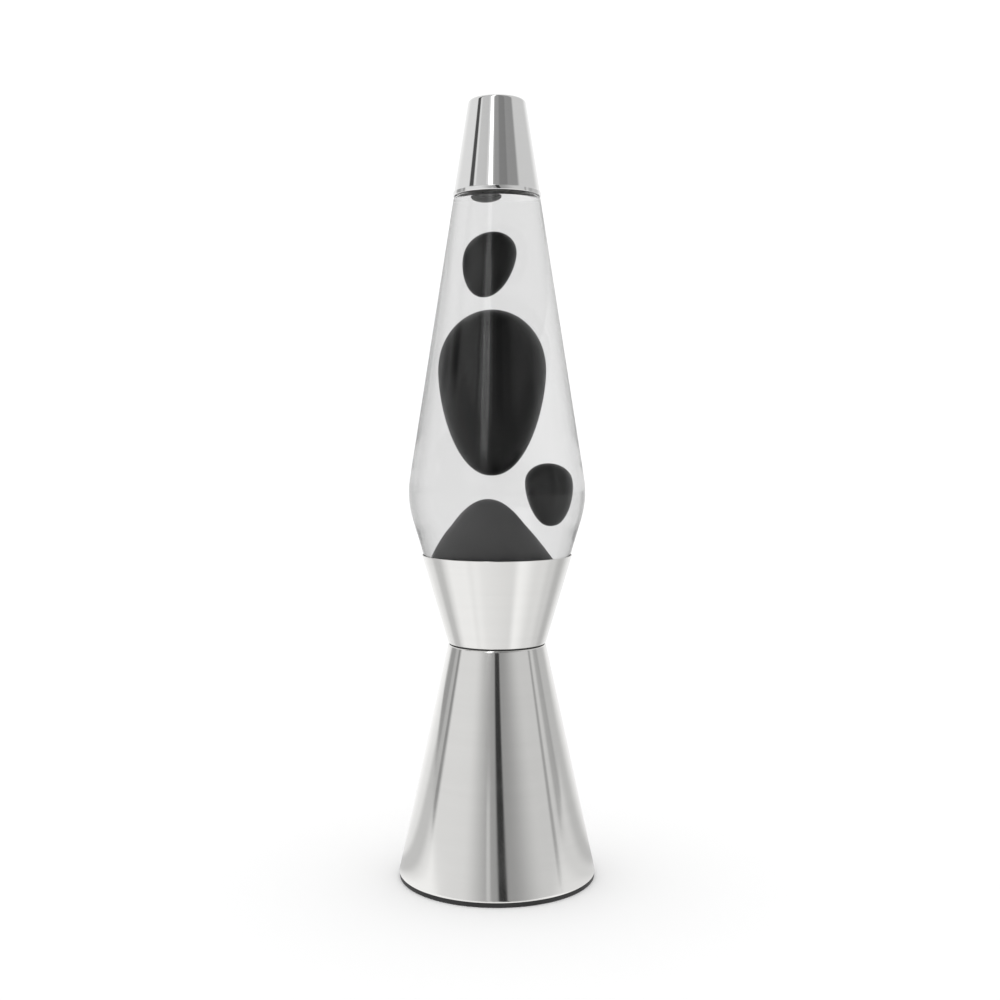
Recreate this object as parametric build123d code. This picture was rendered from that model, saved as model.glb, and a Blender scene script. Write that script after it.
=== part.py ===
from build123d import *
import os
from math import atan, cos, sin

# Lava lamp: a rocket-shaped glass globe with clear liquid and dark wax stands in a waisted metal
# base, over a small screw-in bulb, and carries a loose metal cap over its crown-corked neck.
# Millimetres. +Z is up, the origin is the centre of the foot's underside, and +Y is the rear,
# where the mains cord would enter.

# ---------------------------------------------------------------- driving dimensions
# Heights of the stack, from the table up
FOOT_HEIGHT = 2.0
CONE_HEIGHT = 109.3
GASKET_THICKNESS = 0.6
CUP_HEIGHT = 42.0
SEAT_HEIGHT = 15.0  # from the cup's lower end to the globe's foot
BELLY_RISE = 26.7  # from the cup's rim to the globe's widest level
GLOBE_TAPER_HEIGHT = 141.5  # from the widest level to the globe's shoulder
CAP_HEIGHT = 45.2

# Radii of the outside
BASE_RADIUS = 47.0
RIM_RADIUS = 35.8
BELLY_RADIUS = 43.0  # where the two glass tapers would meet without their blend
BELLY_BLEND = 45.0
CAP_TOP_RADIUS = 13.4

# Sheet and wall thicknesses
CONE_WALL = 0.8
CUP_WALL = 0.6
CAP_WALL = 0.6
GLASS_WALL = 2.4
GLASS_FLOOR = 4.5

# Clearances
FIT_GAP = 0.05  # between fixed pieces that fit each other
FILL_GAP = 0.05  # between a filling and its vessel
SEAT_GAP = 0.2  # between the globe and the cup it stands in
CAP_GAP = 0.3  # between the cap's mouth and the globe's shoulder
TURN_GAP = 0.15  # between the bulb's thread and its holder
BULB_PASS_GAP = 1.4  # between the bulb and the waist it is changed through
BULB_WAIST_GAP = 2.8  # from the bulb's top up to the waist
BLOB_GAP = 0.4  # between a drifting blob and the liquid around its path

# Waist joint: two turned-in flanges, a gasket between them and a rolled ferrule
FLANGE_WIDTH = 3.25
FERRULE_WALL = 0.6
FERRULE_LIP = 2.2
GASKET_RECESS = 0.5

# Base underside
EDGE_ROLL = 0.7
FOOT_RING_WIDTH = 3.4
FOOT_RING_RECESS = 0.4
COVER_THICKNESS = 1.5
COVER_RAISE = 1.9  # from the cover's rim up to its middle panel
COVER_SCREW_COUNT = 3
COVER_SCREW_RADIUS = 1.4
COVER_SCREW_HEAD = 2.7
COVER_SCREW_LENGTH = 7.0
SCREW_EDGE = 0.1  # from a screw's head to each edge of the land that it holds
CROSS_WIDTH, CROSS_SPAN = 0.6, 1.2  # the span is a share of the screw head's radius
VENT_WIDTH = 2.4
VENT_INNER = 15.0
VENT_EDGE = 4.7  # from the slots' outer ends to the panel's edge
VENT_STEP = 15  # degrees from one vent slot to the next
VENT_CLEAR = 35  # degrees kept free of slots beside the bracket's feet and the terminal block

# Cord gland, square to the rear wall
GLAND_LEVEL = 14.0
GLAND_BORE = 3.2
GLAND_WALL = 1.4
GLAND_FLANGE_LIP, GLAND_BARB_LIP = 2.0, 0.7  # how far each stands out past the bush's own wall
GLAND_FLANGE_HEIGHT = 1.6
GLAND_REACH = 5.0  # how far the gland reaches inside from the wall's middle

# Bulb, measured up from its tip contact
BULB_RADIUS = 17.2
BULB_LENGTH = 59.3
BULB_CEMENT = 0.2  # between the bulb's glass neck and its cap's thread
BULB_GLASS = 0.6
BULB_GLASS_START = 12.0
BULB_FLARE_START, BULB_FLARE_END = 25.0, 38.0
BULB_FLARE_ROUND, BULB_GIRTH_ROUND = 8.0, 12.0
BULB_DOME = 0.98  # the domed end's rounding, as a share of the bulb's radius
TIP_RADIUS, TIP_HEIGHT, TIP_ROUND = 2.6, 1.0, 0.5
TIP_FACE = 0.8  # the flat face's radius, as a share of the tip's
INSULATOR_TOP, INSULATOR_EDGE = 5.0, 1.0
INSULATOR_RISE = 0.6  # from the tip's middle out to twice its radius
THREAD_RADIUS = 7.9  # mid-height of the cap's rolled thread
THREAD_DEPTH = 0.4
THREAD_PITCH = 2.82
THREAD_TURNS = 4
THREAD_START = 6.0
BULB_CAP_SHEET = 0.3
BULB_CAP_END = 22.0
STEM_HEIGHT, STEM_TUBE = 26.0, 1.8
STEM_FLARE_EDGE, STEM_FLARE_HEIGHT = 1.0, 4.0
PINCH_WIDTH, PINCH_DEPTH, PINCH_HEIGHT, PINCH_LAP = 5.0, 1.6, 5.0, 2.0
FILAMENT_HEIGHT = 37.0
FILAMENT_SPAN = 11.0
FILAMENT_WIRE = 0.35
FILAMENT_ROOT, FILAMENT_STRAIGHT = 1.6, 2.0  # where its wires leave the stem, and how far up they part

# Lampholder, its bracket and fixings
SHELL_SHEET = 0.4
SOCKET_WALL = 3.5
SOCKET_TOP = 16.5  # above the bulb's tip
SOCKET_FOOT_ROUND, SOCKET_TOP_ROUND, SOCKET_MOUTH_ROUND = 1.0, 1.2, 0.4
SHELL_STANDOUT = 1.0  # above the socket's top
CONTACT_SPACE = 1.5  # between the socket's floor and the bulb's tip
SOCKET_FLOOR = 2.0
CHAMBER_HEIGHT, CHAMBER_RADIUS = 3.0, 7.0
SOCKET_BASE = 3.5
CONTACT_RADIUS, RIVET_RADIUS = 3.0, 1.2
NIPPLE_RADIUS, NIPPLE_BORE = 5.0, 3.4
NIPPLE_DROP = 7.5  # below the bracket's bridge
WASHER_WIDTH, WASHER_THICKNESS, WASHER_SPLIT = 3.0, 1.0, 1.0
NUT_WALL, NUT_HEIGHT = 2.0, 4.0
NUT_FACE_LIP, NUT_CHAMFER_WIDTH, NUT_CHAMFER_HEIGHT = 0.2, 1.0, 0.8
STRAP_THICKNESS, STRAP_WIDTH = 1.2, 14.0
STRAP_HALF_SPAN = 15.0
STRAP_FOOT = 11.0
STRAP_BEND = 2.0
FOOT_RIVET_RADIUS, FOOT_RIVET_HEAD, FOOT_RIVET_DOME = 1.6, 3.0, 0.9

# Wiring
LEAD_RADIUS = 0.9
LEAD_BEND = 9.0
LEAD_SPREAD = 1.7
BLOCK_WIDTH, BLOCK_DEPTH, BLOCK_HEIGHT = 17.0, 16.0, 12.0
BLOCK_CHAMFER = 1.0
BLOCK_GAP = 4.0  # from the gland's inner end to the terminal block
POLE_PITCH = 8.6
POLE_LEVEL = 6.0  # above the block's underside
INSERT_RADIUS, INSERT_BORE, INSERT_LENGTH = 2.4, 1.5, 13.0
CLAMP_RADIUS, CLAMP_OFFSET, CLAMP_LENGTH = 1.4, 4.0, 6.0
BLOCK_SCREW_RADIUS, BLOCK_SCREW_HEAD, BLOCK_SCREW_HEAD_HEIGHT = 1.1, 2.1, 1.3
BLOCK_SCREW_LENGTH, BLOCK_SCREW_END_GAP = 7.0, 1.0  # above the cover, and its hole's depth past its end

# Globe's heel, shoulder, neck and mouth
HEEL_ROUND = 4.0
PUNT_RADIUS, PUNT_DEPTH = 18.0, 1.6
SEAT_BLEND = 60.0  # softens the change of taper at the cup's rim
SHOULDER_ROUND = 2.0
SHOULDER_RISE = 8.8
NECK_RADIUS, NECK_BORE, NECK_HEIGHT = 12.7, 8.3, 5.5
BEAD_RADIUS, BEAD_HEIGHT, BEAD_ROUND = 13.2, 4.2, 1.5

# Crown cap
LINER_THICKNESS = 0.5
CROWN_SHEET = 0.3
CROWN_TOP_RADIUS = 13.9
CROWN_SKIRT_RADIUS = 16.05
CROWN_HEIGHT = 6.0
CROWN_SHOULDER_HEIGHT = 2.5
CROWN_ROUND = 2.0
CROWN_ROOM = 4.55  # from the crown cap's skirt out to the globe's shoulder, for the cap's wall and taper

# Decorative cap
CAP_BEAD_HEIGHT, CAP_BEAD_LIP = 2.0, 0.2
CAP_TOP_ROUND = 1.8
CAP_MOUTH_ROUND, CAP_BEAD_ROUND = 0.2, 0.4

# Filling. Wax is soft, so its heights are those in a column of liquid WAX_COLUMN deep, and stretch
# with the real column.
LIQUID_DROP = 1.0  # from the globe's shoulder down to the liquid's surface
WAX_COLUMN = 189.7
POOL_EDGE_RISE = 11.0  # from the vessel's floor to the wax's edge on the glass
POOL_EDGE_SLOPE = 0.4
POOL_FLANK_RADIUS, POOL_FLANK_RISE = 19.6, 24.8
POOL_SHOULDER_RADIUS, POOL_SHOULDER_RISE = 11.5, 41.5
POOL_RISE = 49.8
COIL_RING_RADIUS, COIL_RADIUS = 19.0, 2.6
COIL_LIFT = 0.4
LENS_RADIUS, LENS_DEPTH = 6.0, 3.2
LENS_PLACE = (-4.2, -6.5)
ROUND_FULLNESS = 0.55  # how far a quarter curve's handles reach, 0.55 for an ellipse

# Wax blobs: axis in plan, girth radius, level of the girth above the vessel's floor, height above
# and below the girth, and how far each may rise and sink before it would merge with its neighbours
BLOBS = {
    "wax_blob_upper": dict(
        place=(-3.0, 0.0), radius=9.6, level=162.0, above=11.6, below=19.4, rise=12, sink=3
    ),
    "wax_blob_large": dict(
        place=(-2.2, 0.0), radius=18.8, level=107.5, above=29.4, below=48.8, rise=3, sink=7
    ),
    "wax_blob_side": dict(
        place=(19.0, 5.0), radius=9.6, level=54.5, above=9.7, below=14.8, rise=3, sink=4
    ),
}

# ---------------------------------------------------------------- places worked out from them
Z_CONE = FOOT_HEIGHT
Z_WAIST = Z_CONE + CONE_HEIGHT
Z_CUP = Z_WAIST + GASKET_THICKNESS
Z_RIM = Z_CUP + CUP_HEIGHT
Z_GLOBE = Z_CUP + SEAT_HEIGHT
Z_BELLY = Z_RIM + BELLY_RISE
Z_SHOULDER = Z_BELLY + GLOBE_TAPER_HEIGHT
Z_NECK = Z_SHOULDER + SHOULDER_RISE
Z_BEAD = Z_NECK + NECK_HEIGHT
Z_MOUTH = Z_BEAD + BEAD_HEIGHT
SHOULDER_RADIUS = CROWN_SKIRT_RADIUS + CROWN_ROOM
SHOULDER_STEEPNESS = SHOULDER_RISE / (SHOULDER_RADIUS - NECK_RADIUS)
Z_CAP = Z_SHOULDER + (CAP_WALL + CAP_GAP) * SHOULDER_STEEPNESS
Z_TOP = Z_CAP + CAP_HEIGHT
Z_LIQUID = Z_SHOULDER - LIQUID_DROP
Z_FLOOR = Z_GLOBE + GLASS_FLOOR
Z_BULB = Z_WAIST - BULB_WAIST_GAP - BULB_LENGTH
Z_SOCKET_FLOOR = Z_BULB - CONTACT_SPACE
Z_CHAMBER = Z_SOCKET_FLOOR - SOCKET_FLOOR - CHAMBER_HEIGHT
Z_SOCKET = Z_CHAMBER - SOCKET_BASE
Z_BRIDGE = Z_SOCKET - STRAP_THICKNESS
COVER_LIFT = FOOT_HEIGHT - COVER_THICKNESS
Z_PANEL = COVER_LIFT + COVER_THICKNESS + COVER_RAISE

WAIST_BORE = BULB_RADIUS + BULB_PASS_GAP
WAIST_HOLE = WAIST_BORE + FERRULE_WALL + FIT_GAP
WAIST_RADIUS = WAIST_HOLE + FLANGE_WIDTH + CONE_WALL
FOOT_RING_RADIUS = BASE_RADIUS - FOOT_RING_RECESS
COVER_RADIUS = FOOT_RING_RADIUS - FOOT_RING_WIDTH - 2 * FIT_GAP
FOOT_FLANGE_RADIUS = COVER_RADIUS - 2 * (COVER_SCREW_HEAD + SCREW_EDGE)
COVER_SCREW_CIRCLE = (COVER_RADIUS + FOOT_FLANGE_RADIUS) / 2
PANEL_RADIUS = FOOT_FLANGE_RADIUS - CONE_WALL - 2 * COVER_THICKNESS
VENT_OUTER = PANEL_RADIUS - VENT_EDGE
GLAND_NECK = GLAND_BORE + GLAND_WALL
GLAND_FLANGE = GLAND_NECK + GLAND_FLANGE_LIP
GLAND_BARB = GLAND_NECK + GLAND_BARB_LIP
BULB_NECK_RADIUS = THREAD_RADIUS - BULB_CAP_SHEET - THREAD_DEPTH - BULB_CEMENT
WASHER_RADIUS = NIPPLE_RADIUS + WASHER_WIDTH
NUT_FLATS = 2 * (NIPPLE_RADIUS + NUT_WALL)
SOCKET_BORE = THREAD_RADIUS + TURN_GAP + SHELL_SHEET + THREAD_DEPTH + FIT_GAP
SOCKET_RADIUS = SOCKET_BORE + SOCKET_WALL

CONE_SLOPE = (BASE_RADIUS - WAIST_RADIUS) / CONE_HEIGHT
CUP_SLOPE = (RIM_RADIUS - WAIST_RADIUS) / CUP_HEIGHT
CAP_SLOPE = (SHOULDER_RADIUS - CAP_TOP_RADIUS) / CAP_HEIGHT
WAX_STRETCH = (Z_LIQUID - Z_FLOOR) / WAX_COLUMN


def cone_radius(z):
    """Outer radius of the base cone at height z."""
    return BASE_RADIUS - CONE_SLOPE * (z - Z_CONE)


def seat_radius(z):
    """Outer radius of the globe where it stands in the cup, at height z."""
    return WAIST_RADIUS + CUP_SLOPE * (z - Z_CUP) - CUP_WALL - SEAT_GAP


# ---------------------------------------------------------------- helpers
def turned(corners, radii=None):
    """Solid turned about Z from a closed outline of (radius, height) corners, each rounded by its radius."""
    line = FilletPolyline(*corners, radius=radii, close=True) if radii else Polyline(*corners, close=True)
    return revolve(Plane.XZ * make_face(line), Axis.Z)


def ring(outer, inner, low, high):
    """Flat ring about Z."""
    return turned([(inner, low), (outer, low), (outer, high), (inner, high)])


def rod(radius, low, high, x=0.0, y=0.0):
    """Upright cylinder."""
    return Pos(x, y, (low + high) / 2) * Cylinder(radius, high - low)


def cross_recess(size, depth, low):
    """Cutter for a cross-head recess that opens downwards at height low."""
    bar = Box(size, CROSS_WIDTH, depth)
    return Pos(0, 0, low + depth / 2) * (bar + Rot(0, 0, 90) * bar)


def thread_wave(radius, low):
    """Edges of a rolled thread's section: arcs that swing THREAD_DEPTH each side of a radius."""
    half = THREAD_PITCH / 2
    edges = []
    for i in range(2 * THREAD_TURNS):
        start = low + i * half
        swing = THREAD_DEPTH if i % 2 == 0 else -THREAD_DEPTH
        edges.append(
            ThreePointArc((radius, start), (radius + swing, start + half / 2), (radius, start + half))
        )
    return edges


def threaded_sheet(inner, sheet, low_end, wave_start, high_end):
    """Thin turned shell with a rolled thread between two plain stretches, and no end walls."""
    wave_end = wave_start + THREAD_TURNS * THREAD_PITCH
    outer = inner + sheet
    outline = Curve() + [
        *thread_wave(inner, wave_start),
        *thread_wave(outer, wave_start),
        Polyline((inner, wave_start), (inner, low_end), (outer, low_end), (outer, wave_start)),
        Polyline((inner, wave_end), (inner, high_end), (outer, high_end), (outer, wave_end)),
    ]
    return revolve(Plane.XZ * make_face(outline), Axis.Z)


# ---------------------------------------------------------------- base shells
def gland_plane():
    """Plane in the rear wall's middle at the gland's level, with its Z square to the wall and outward."""
    tilt = atan(CONE_SLOPE)
    middle = cone_radius(GLAND_LEVEL) - CONE_WALL / 2
    return Plane(origin=(0, middle, GLAND_LEVEL), x_dir=(1, 0, 0), z_dir=(0, cos(tilt), sin(tilt)))


def screw_places():
    """Places of the cover's screws, one of them at the front."""
    return PolarLocations(COVER_SCREW_CIRCLE, COVER_SCREW_COUNT, start_angle=-90)


def base_cone():
    """Lower shell: a cone with a narrow turned-in flange at the waist and a wide one at the foot."""
    shell = turned(
        [
            (FOOT_FLANGE_RADIUS, Z_CONE),
            (BASE_RADIUS, Z_CONE),
            (WAIST_RADIUS, Z_WAIST),
            (WAIST_HOLE, Z_WAIST),
            (WAIST_HOLE, Z_WAIST - CONE_WALL),
            (cone_radius(Z_WAIST - CONE_WALL) - CONE_WALL, Z_WAIST - CONE_WALL),
            (cone_radius(Z_CONE + CONE_WALL) - CONE_WALL, Z_CONE + CONE_WALL),
            (FOOT_FLANGE_RADIUS, Z_CONE + CONE_WALL),
        ],
        [0, EDGE_ROLL, EDGE_ROLL, 0, 0, 0, 0, 0],
    )
    for place in screw_places():
        shell -= place * rod(COVER_SCREW_RADIUS + FIT_GAP, 0, 2 * Z_PANEL)
    return shell - gland_plane() * Cylinder(GLAND_NECK + FIT_GAP, 2 * GLAND_REACH)


def base_cup():
    """Upper shell that the globe stands in: an open cone with a turned-in flange at the waist."""
    floor = Z_CUP + CUP_WALL
    return turned(
        [
            (WAIST_HOLE, Z_CUP),
            (WAIST_RADIUS, Z_CUP),
            (RIM_RADIUS, Z_RIM),
            (RIM_RADIUS - CUP_WALL, Z_RIM),
            (WAIST_RADIUS + CUP_SLOPE * CUP_WALL - CUP_WALL, floor),
            (WAIST_HOLE, floor),
        ],
        [0, CUP_WALL, CUP_WALL / 3, CUP_WALL / 3, 0, 0],
    )


def waist_gasket():
    """Thin dark ring between the two shells."""
    return ring(WAIST_RADIUS - GASKET_RECESS, WAIST_HOLE, Z_WAIST, Z_CUP)


def waist_ferrule():
    """Short tube rolled over both flanges, which holds the two shells together."""
    low, high = Z_WAIST - CONE_WALL, Z_CUP + CUP_WALL
    outer, lip = WAIST_BORE + FERRULE_WALL, WAIST_BORE + FERRULE_WALL + FERRULE_LIP
    return turned(
        [
            (WAIST_BORE, low - FERRULE_WALL),
            (lip, low - FERRULE_WALL),
            (lip, low),
            (outer, low),
            (outer, high),
            (lip, high),
            (lip, high + FERRULE_WALL),
            (WAIST_BORE, high + FERRULE_WALL),
        ]
    )


# ---------------------------------------------------------------- underside
def foot_ring():
    """Rubber ring under the cone's edge, which the lamp stands on."""
    inner, outer = FOOT_RING_RADIUS - FOOT_RING_WIDTH, FOOT_RING_RADIUS
    soft = FOOT_HEIGHT / 4
    return turned([(inner, 0), (outer, 0), (outer, FOOT_HEIGHT), (inner, FOOT_HEIGHT)], [soft, soft, 0, 0])


def vent_angles():
    """Angles of the cover's slots, clear of the bracket's feet and of the terminal block behind."""
    kept = []
    for angle in range(0, 360, VENT_STEP):
        off = [abs((angle - blocked + 180) % 360 - 180) for blocked in (0, 90, 180)]
        if min(off) > VENT_CLEAR:
            kept.append(angle)
    return kept


def bottom_cover():
    """Moulded disc that closes the foot, with a raised panel, vents and holes for its fixings."""
    rim_low, rim_high = COVER_LIFT, COVER_LIFT + COVER_THICKNESS
    panel_low = rim_low + COVER_RAISE
    step = PANEL_RADIUS + COVER_THICKNESS
    cover = turned(
        [
            (0, panel_low),
            (PANEL_RADIUS, panel_low),
            (PANEL_RADIUS, rim_low),
            (COVER_RADIUS, rim_low),
            (COVER_RADIUS, rim_high),
            (step, rim_high),
            (step, Z_PANEL),
            (0, Z_PANEL),
        ]
    )
    slot_length = VENT_OUTER - VENT_INNER
    slot = extrude(SlotOverall(slot_length, VENT_WIDTH), 2 * Z_PANEL)
    for angle in vent_angles():
        cover -= Rot(0, 0, angle) * Pos((VENT_INNER + VENT_OUTER) / 2, 0, 0) * slot
    for place in screw_places():
        cover -= place * screw_body(FIT_GAP)
    for side in (-1, 1):
        cover -= rod(FOOT_RIVET_RADIUS + FIT_GAP, 0, 2 * Z_PANEL, side * strap_rivet_x())
    return cover - rod(BLOCK_SCREW_RADIUS + FIT_GAP, 0, 2 * Z_PANEL, 0, block_centre())


def screw_body(gap):
    """Countersunk screw, head down and flush with the cover, grown by gap all round."""
    head_height = COVER_SCREW_HEAD - COVER_SCREW_RADIUS
    return turned(
        [
            (0, COVER_LIFT),
            (COVER_SCREW_HEAD + gap, COVER_LIFT),
            (COVER_SCREW_RADIUS + gap, COVER_LIFT + head_height),
            (COVER_SCREW_RADIUS + gap, COVER_LIFT + COVER_SCREW_LENGTH),
            (0, COVER_LIFT + COVER_SCREW_LENGTH),
        ]
    )


def cover_screws():
    """The cover's cross-head screws."""
    screw = screw_body(0) - cross_recess(CROSS_SPAN * COVER_SCREW_HEAD, COVER_SCREW_HEAD / 3, COVER_LIFT)
    return [place * screw for place in screw_places()]


def cord_gland():
    """Snap-in bush in the rear wall, square to it, where the cord would pass through."""
    bush = turned(
        [
            (GLAND_BORE, -GLAND_REACH),
            (GLAND_NECK, -GLAND_REACH),
            (GLAND_BARB, -GLAND_REACH / 2),
            (GLAND_BARB, -CONE_WALL / 4),
            (GLAND_NECK, -CONE_WALL / 4),
            (GLAND_NECK, -CONE_WALL / 4 + FIT_GAP),
            (GLAND_FLANGE, -CONE_WALL / 4 + FIT_GAP),
            (GLAND_FLANGE, GLAND_FLANGE_HEIGHT),
            (GLAND_BORE, GLAND_FLANGE_HEIGHT),
        ],
        [0, 0, 0, 0, 0, 0, 0, GLAND_FLANGE_HEIGHT / 2, 0],
    )
    return gland_plane() * bush - base_cone()


# ---------------------------------------------------------------- lampholder and bracket
def strap_rivet_x():
    """Distance of each foot's rivet from the axis."""
    return STRAP_HALF_SPAN + STRAP_FOOT / 2 + STRAP_THICKNESS


def socket_bracket():
    """Bent steel strap that stands on the cover and carries the lampholder on its bridge."""
    leg, foot, t = STRAP_HALF_SPAN, STRAP_HALF_SPAN + STRAP_FOOT, STRAP_THICKNESS
    inside = STRAP_BEND - t / 2
    outside = STRAP_BEND + t / 2
    strip = FilletPolyline(
        (-foot, Z_PANEL),
        (-leg + t, Z_PANEL),
        (-leg + t, Z_BRIDGE),
        (leg - t, Z_BRIDGE),
        (leg - t, Z_PANEL),
        (foot, Z_PANEL),
        (foot, Z_PANEL + t),
        (leg, Z_PANEL + t),
        (leg, Z_SOCKET),
        (-leg, Z_SOCKET),
        (-leg, Z_PANEL + t),
        (-foot, Z_PANEL + t),
        radius=[0, outside, inside, inside, outside, 0, 0, inside, outside, outside, inside, 0],
        close=True,
    )
    strap = extrude(Plane.XZ * make_face(strip), STRAP_WIDTH / 2, both=True)
    strap -= rod(NIPPLE_RADIUS + FIT_GAP, Z_BRIDGE - STRAP_THICKNESS, Z_SOCKET + STRAP_THICKNESS)
    for side in (-1, 1):
        strap -= rod(FOOT_RIVET_RADIUS + FIT_GAP, 0, 2 * Z_PANEL, side * strap_rivet_x())
    return strap


def bracket_rivets():
    """Round-headed rivets through the bracket's feet and the cover."""
    low, high = COVER_LIFT + COVER_RAISE, Z_PANEL + STRAP_THICKNESS
    soft = FOOT_RIVET_DOME * 0.9
    rivet = turned(
        [
            (0, low - FOOT_RIVET_DOME),
            (FOOT_RIVET_HEAD, low - FOOT_RIVET_DOME),
            (FOOT_RIVET_HEAD, low),
            (FOOT_RIVET_RADIUS, low),
            (FOOT_RIVET_RADIUS, high),
            (FOOT_RIVET_HEAD, high),
            (FOOT_RIVET_HEAD, high + FOOT_RIVET_DOME),
            (0, high + FOOT_RIVET_DOME),
        ],
        [0, soft, 0, 0, 0, 0, soft, 0],
    )
    return [Pos(side * strap_rivet_x(), 0, 0) * rivet for side in (-1, 1)]


def socket_housing():
    """Moulded lampholder body: base, wiring chamber, floor and the well for the threaded shell."""
    top = Z_BULB + SOCKET_TOP
    chamber_top = Z_CHAMBER + CHAMBER_HEIGHT
    return turned(
        [
            (NIPPLE_RADIUS + FIT_GAP, Z_SOCKET),
            (SOCKET_RADIUS, Z_SOCKET),
            (SOCKET_RADIUS, top),
            (SOCKET_BORE, top),
            (SOCKET_BORE, Z_SOCKET_FLOOR),
            (RIVET_RADIUS + FIT_GAP, Z_SOCKET_FLOOR),
            (RIVET_RADIUS + FIT_GAP, chamber_top),
            (CHAMBER_RADIUS, chamber_top),
            (CHAMBER_RADIUS, Z_CHAMBER),
            (NIPPLE_RADIUS + FIT_GAP, Z_CHAMBER),
        ],
        [0, SOCKET_FOOT_ROUND, SOCKET_TOP_ROUND, SOCKET_MOUTH_ROUND, 0, 0, 0, 0, 0, 0],
    )


def socket_shell():
    """Rolled brass thread of the lampholder, with a turned-in foot."""
    inner = THREAD_RADIUS + TURN_GAP
    wave_start = Z_BULB + THREAD_START
    shell_top = Z_BULB + SOCKET_TOP + SHELL_STANDOUT
    wall = threaded_sheet(inner, SHELL_SHEET, Z_SOCKET_FLOOR, wave_start, shell_top)
    foot_high = Z_SOCKET_FLOOR + SHELL_SHEET
    return wall + ring(inner + SHELL_SHEET / 2, 2 * CONTACT_RADIUS, Z_SOCKET_FLOOR, foot_high)


def socket_contact():
    """Centre contact: a sprung hat under the bulb's tip, riveted through the socket's floor."""
    hat_top = Z_BULB - FIT_GAP
    sheet = SHELL_SHEET
    return turned(
        [
            (0, Z_SOCKET_FLOOR - SOCKET_FLOOR),
            (RIVET_RADIUS, Z_SOCKET_FLOOR - SOCKET_FLOOR),
            (RIVET_RADIUS, Z_SOCKET_FLOOR),
            (CONTACT_RADIUS, Z_SOCKET_FLOOR),
            (CONTACT_RADIUS, Z_SOCKET_FLOOR + sheet),
            (CONTACT_RADIUS / 2, hat_top),
            (0, hat_top),
        ],
        [0, 0, 0, 0, sheet / 3, sheet, 0],
    )


def socket_nipple():
    """Hollow threaded stud that ties the lampholder to the bracket and lets the leads down."""
    return ring(NIPPLE_RADIUS, NIPPLE_BORE, Z_BRIDGE - NIPPLE_DROP, Z_CHAMBER)


def lock_washer():
    """Split spring washer under the bridge."""
    washer = ring(WASHER_RADIUS, NIPPLE_RADIUS + FIT_GAP, Z_BRIDGE - WASHER_THICKNESS, Z_BRIDGE)
    return washer - Pos(0, -WASHER_RADIUS, Z_BRIDGE) * Box(WASHER_SPLIT, WASHER_RADIUS, 4 * WASHER_THICKNESS)


def nipple_nut():
    """Hexagon nut under the washer."""
    high = Z_BRIDGE - WASHER_THICKNESS
    face = NUT_FLATS / 2 + NUT_FACE_LIP
    blank = extrude(RegularPolygon(NUT_FLATS / 2, 6, major_radius=False), NUT_HEIGHT)
    chamfered = turned(
        [
            (NIPPLE_RADIUS + FIT_GAP, 0),
            (face, 0),
            (face + NUT_CHAMFER_WIDTH, NUT_CHAMFER_HEIGHT),
            (face + NUT_CHAMFER_WIDTH, NUT_HEIGHT),
            (NIPPLE_RADIUS + FIT_GAP, NUT_HEIGHT),
        ]
    )
    return Pos(0, 0, high - NUT_HEIGHT) * (blank & chamfered)


# ---------------------------------------------------------------- wiring
def block_centre():
    """Y of the terminal block's middle, a named gap inside the gland's inner end."""
    wall = cone_radius(GLAND_LEVEL) - CONE_WALL / 2
    return wall - GLAND_REACH - BLOCK_GAP - BLOCK_DEPTH / 2


def pole_places():
    """X of each pole of the terminal block."""
    return (-POLE_PITCH / 2, POLE_PITCH / 2)


def clamp_place(x, side, shape):
    """A shape set over one end of a pole."""
    return Pos(x, block_centre() + side * CLAMP_OFFSET, Z_PANEL + POLE_LEVEL) * shape


def along_pole(x, radius, length):
    """Cylinder along a pole, on the block's middle."""
    return Pos(x, block_centre(), Z_PANEL + POLE_LEVEL) * Rot(90, 0, 0) * Cylinder(radius, length)


def terminal_block():
    """Two-pole terminal block on the cover, inside the gland."""
    block = Pos(0, block_centre(), Z_PANEL) * Box(
        BLOCK_WIDTH, BLOCK_DEPTH, BLOCK_HEIGHT, align=(Align.CENTER, Align.CENTER, Align.MIN)
    )
    block = chamfer(block.edges().group_by(Axis.Z)[-1], BLOCK_CHAMFER)
    shaft = rod(CLAMP_RADIUS + 2 * FIT_GAP, 0, BLOCK_HEIGHT)
    for x in pole_places():
        block -= along_pole(x, INSERT_RADIUS + FIT_GAP, 2 * BLOCK_DEPTH)
        for side in (-1, 1):
            block -= clamp_place(x, side, shaft)
    hole_end = Z_PANEL + BLOCK_SCREW_LENGTH + BLOCK_SCREW_END_GAP
    return block - rod(BLOCK_SCREW_RADIUS + FIT_GAP, 0, hole_end, 0, block_centre())


def terminal_inserts():
    """Brass tubes in the terminal block, bored along for the wires and across for the clamp screws."""
    tubes = []
    for x in pole_places():
        tube = along_pole(x, INSERT_RADIUS, INSERT_LENGTH) - along_pole(x, INSERT_BORE, BLOCK_DEPTH)
        for side in (-1, 1):
            tube -= clamp_place(x, side, rod(CLAMP_RADIUS + FIT_GAP, 0, BLOCK_HEIGHT))
        tubes.append(tube)
    return tubes


def terminal_screws():
    """Slotted clamp screws, standing on the wires' side of each bore."""
    screw = rod(CLAMP_RADIUS, LEAD_RADIUS + FIT_GAP, CLAMP_LENGTH)
    screw -= Pos(0, 0, CLAMP_LENGTH) * Box(CROSS_WIDTH, 4 * CLAMP_RADIUS, 2 * CROSS_WIDTH)
    return [clamp_place(x, side, screw) for x in pole_places() for side in (-1, 1)]


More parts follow.
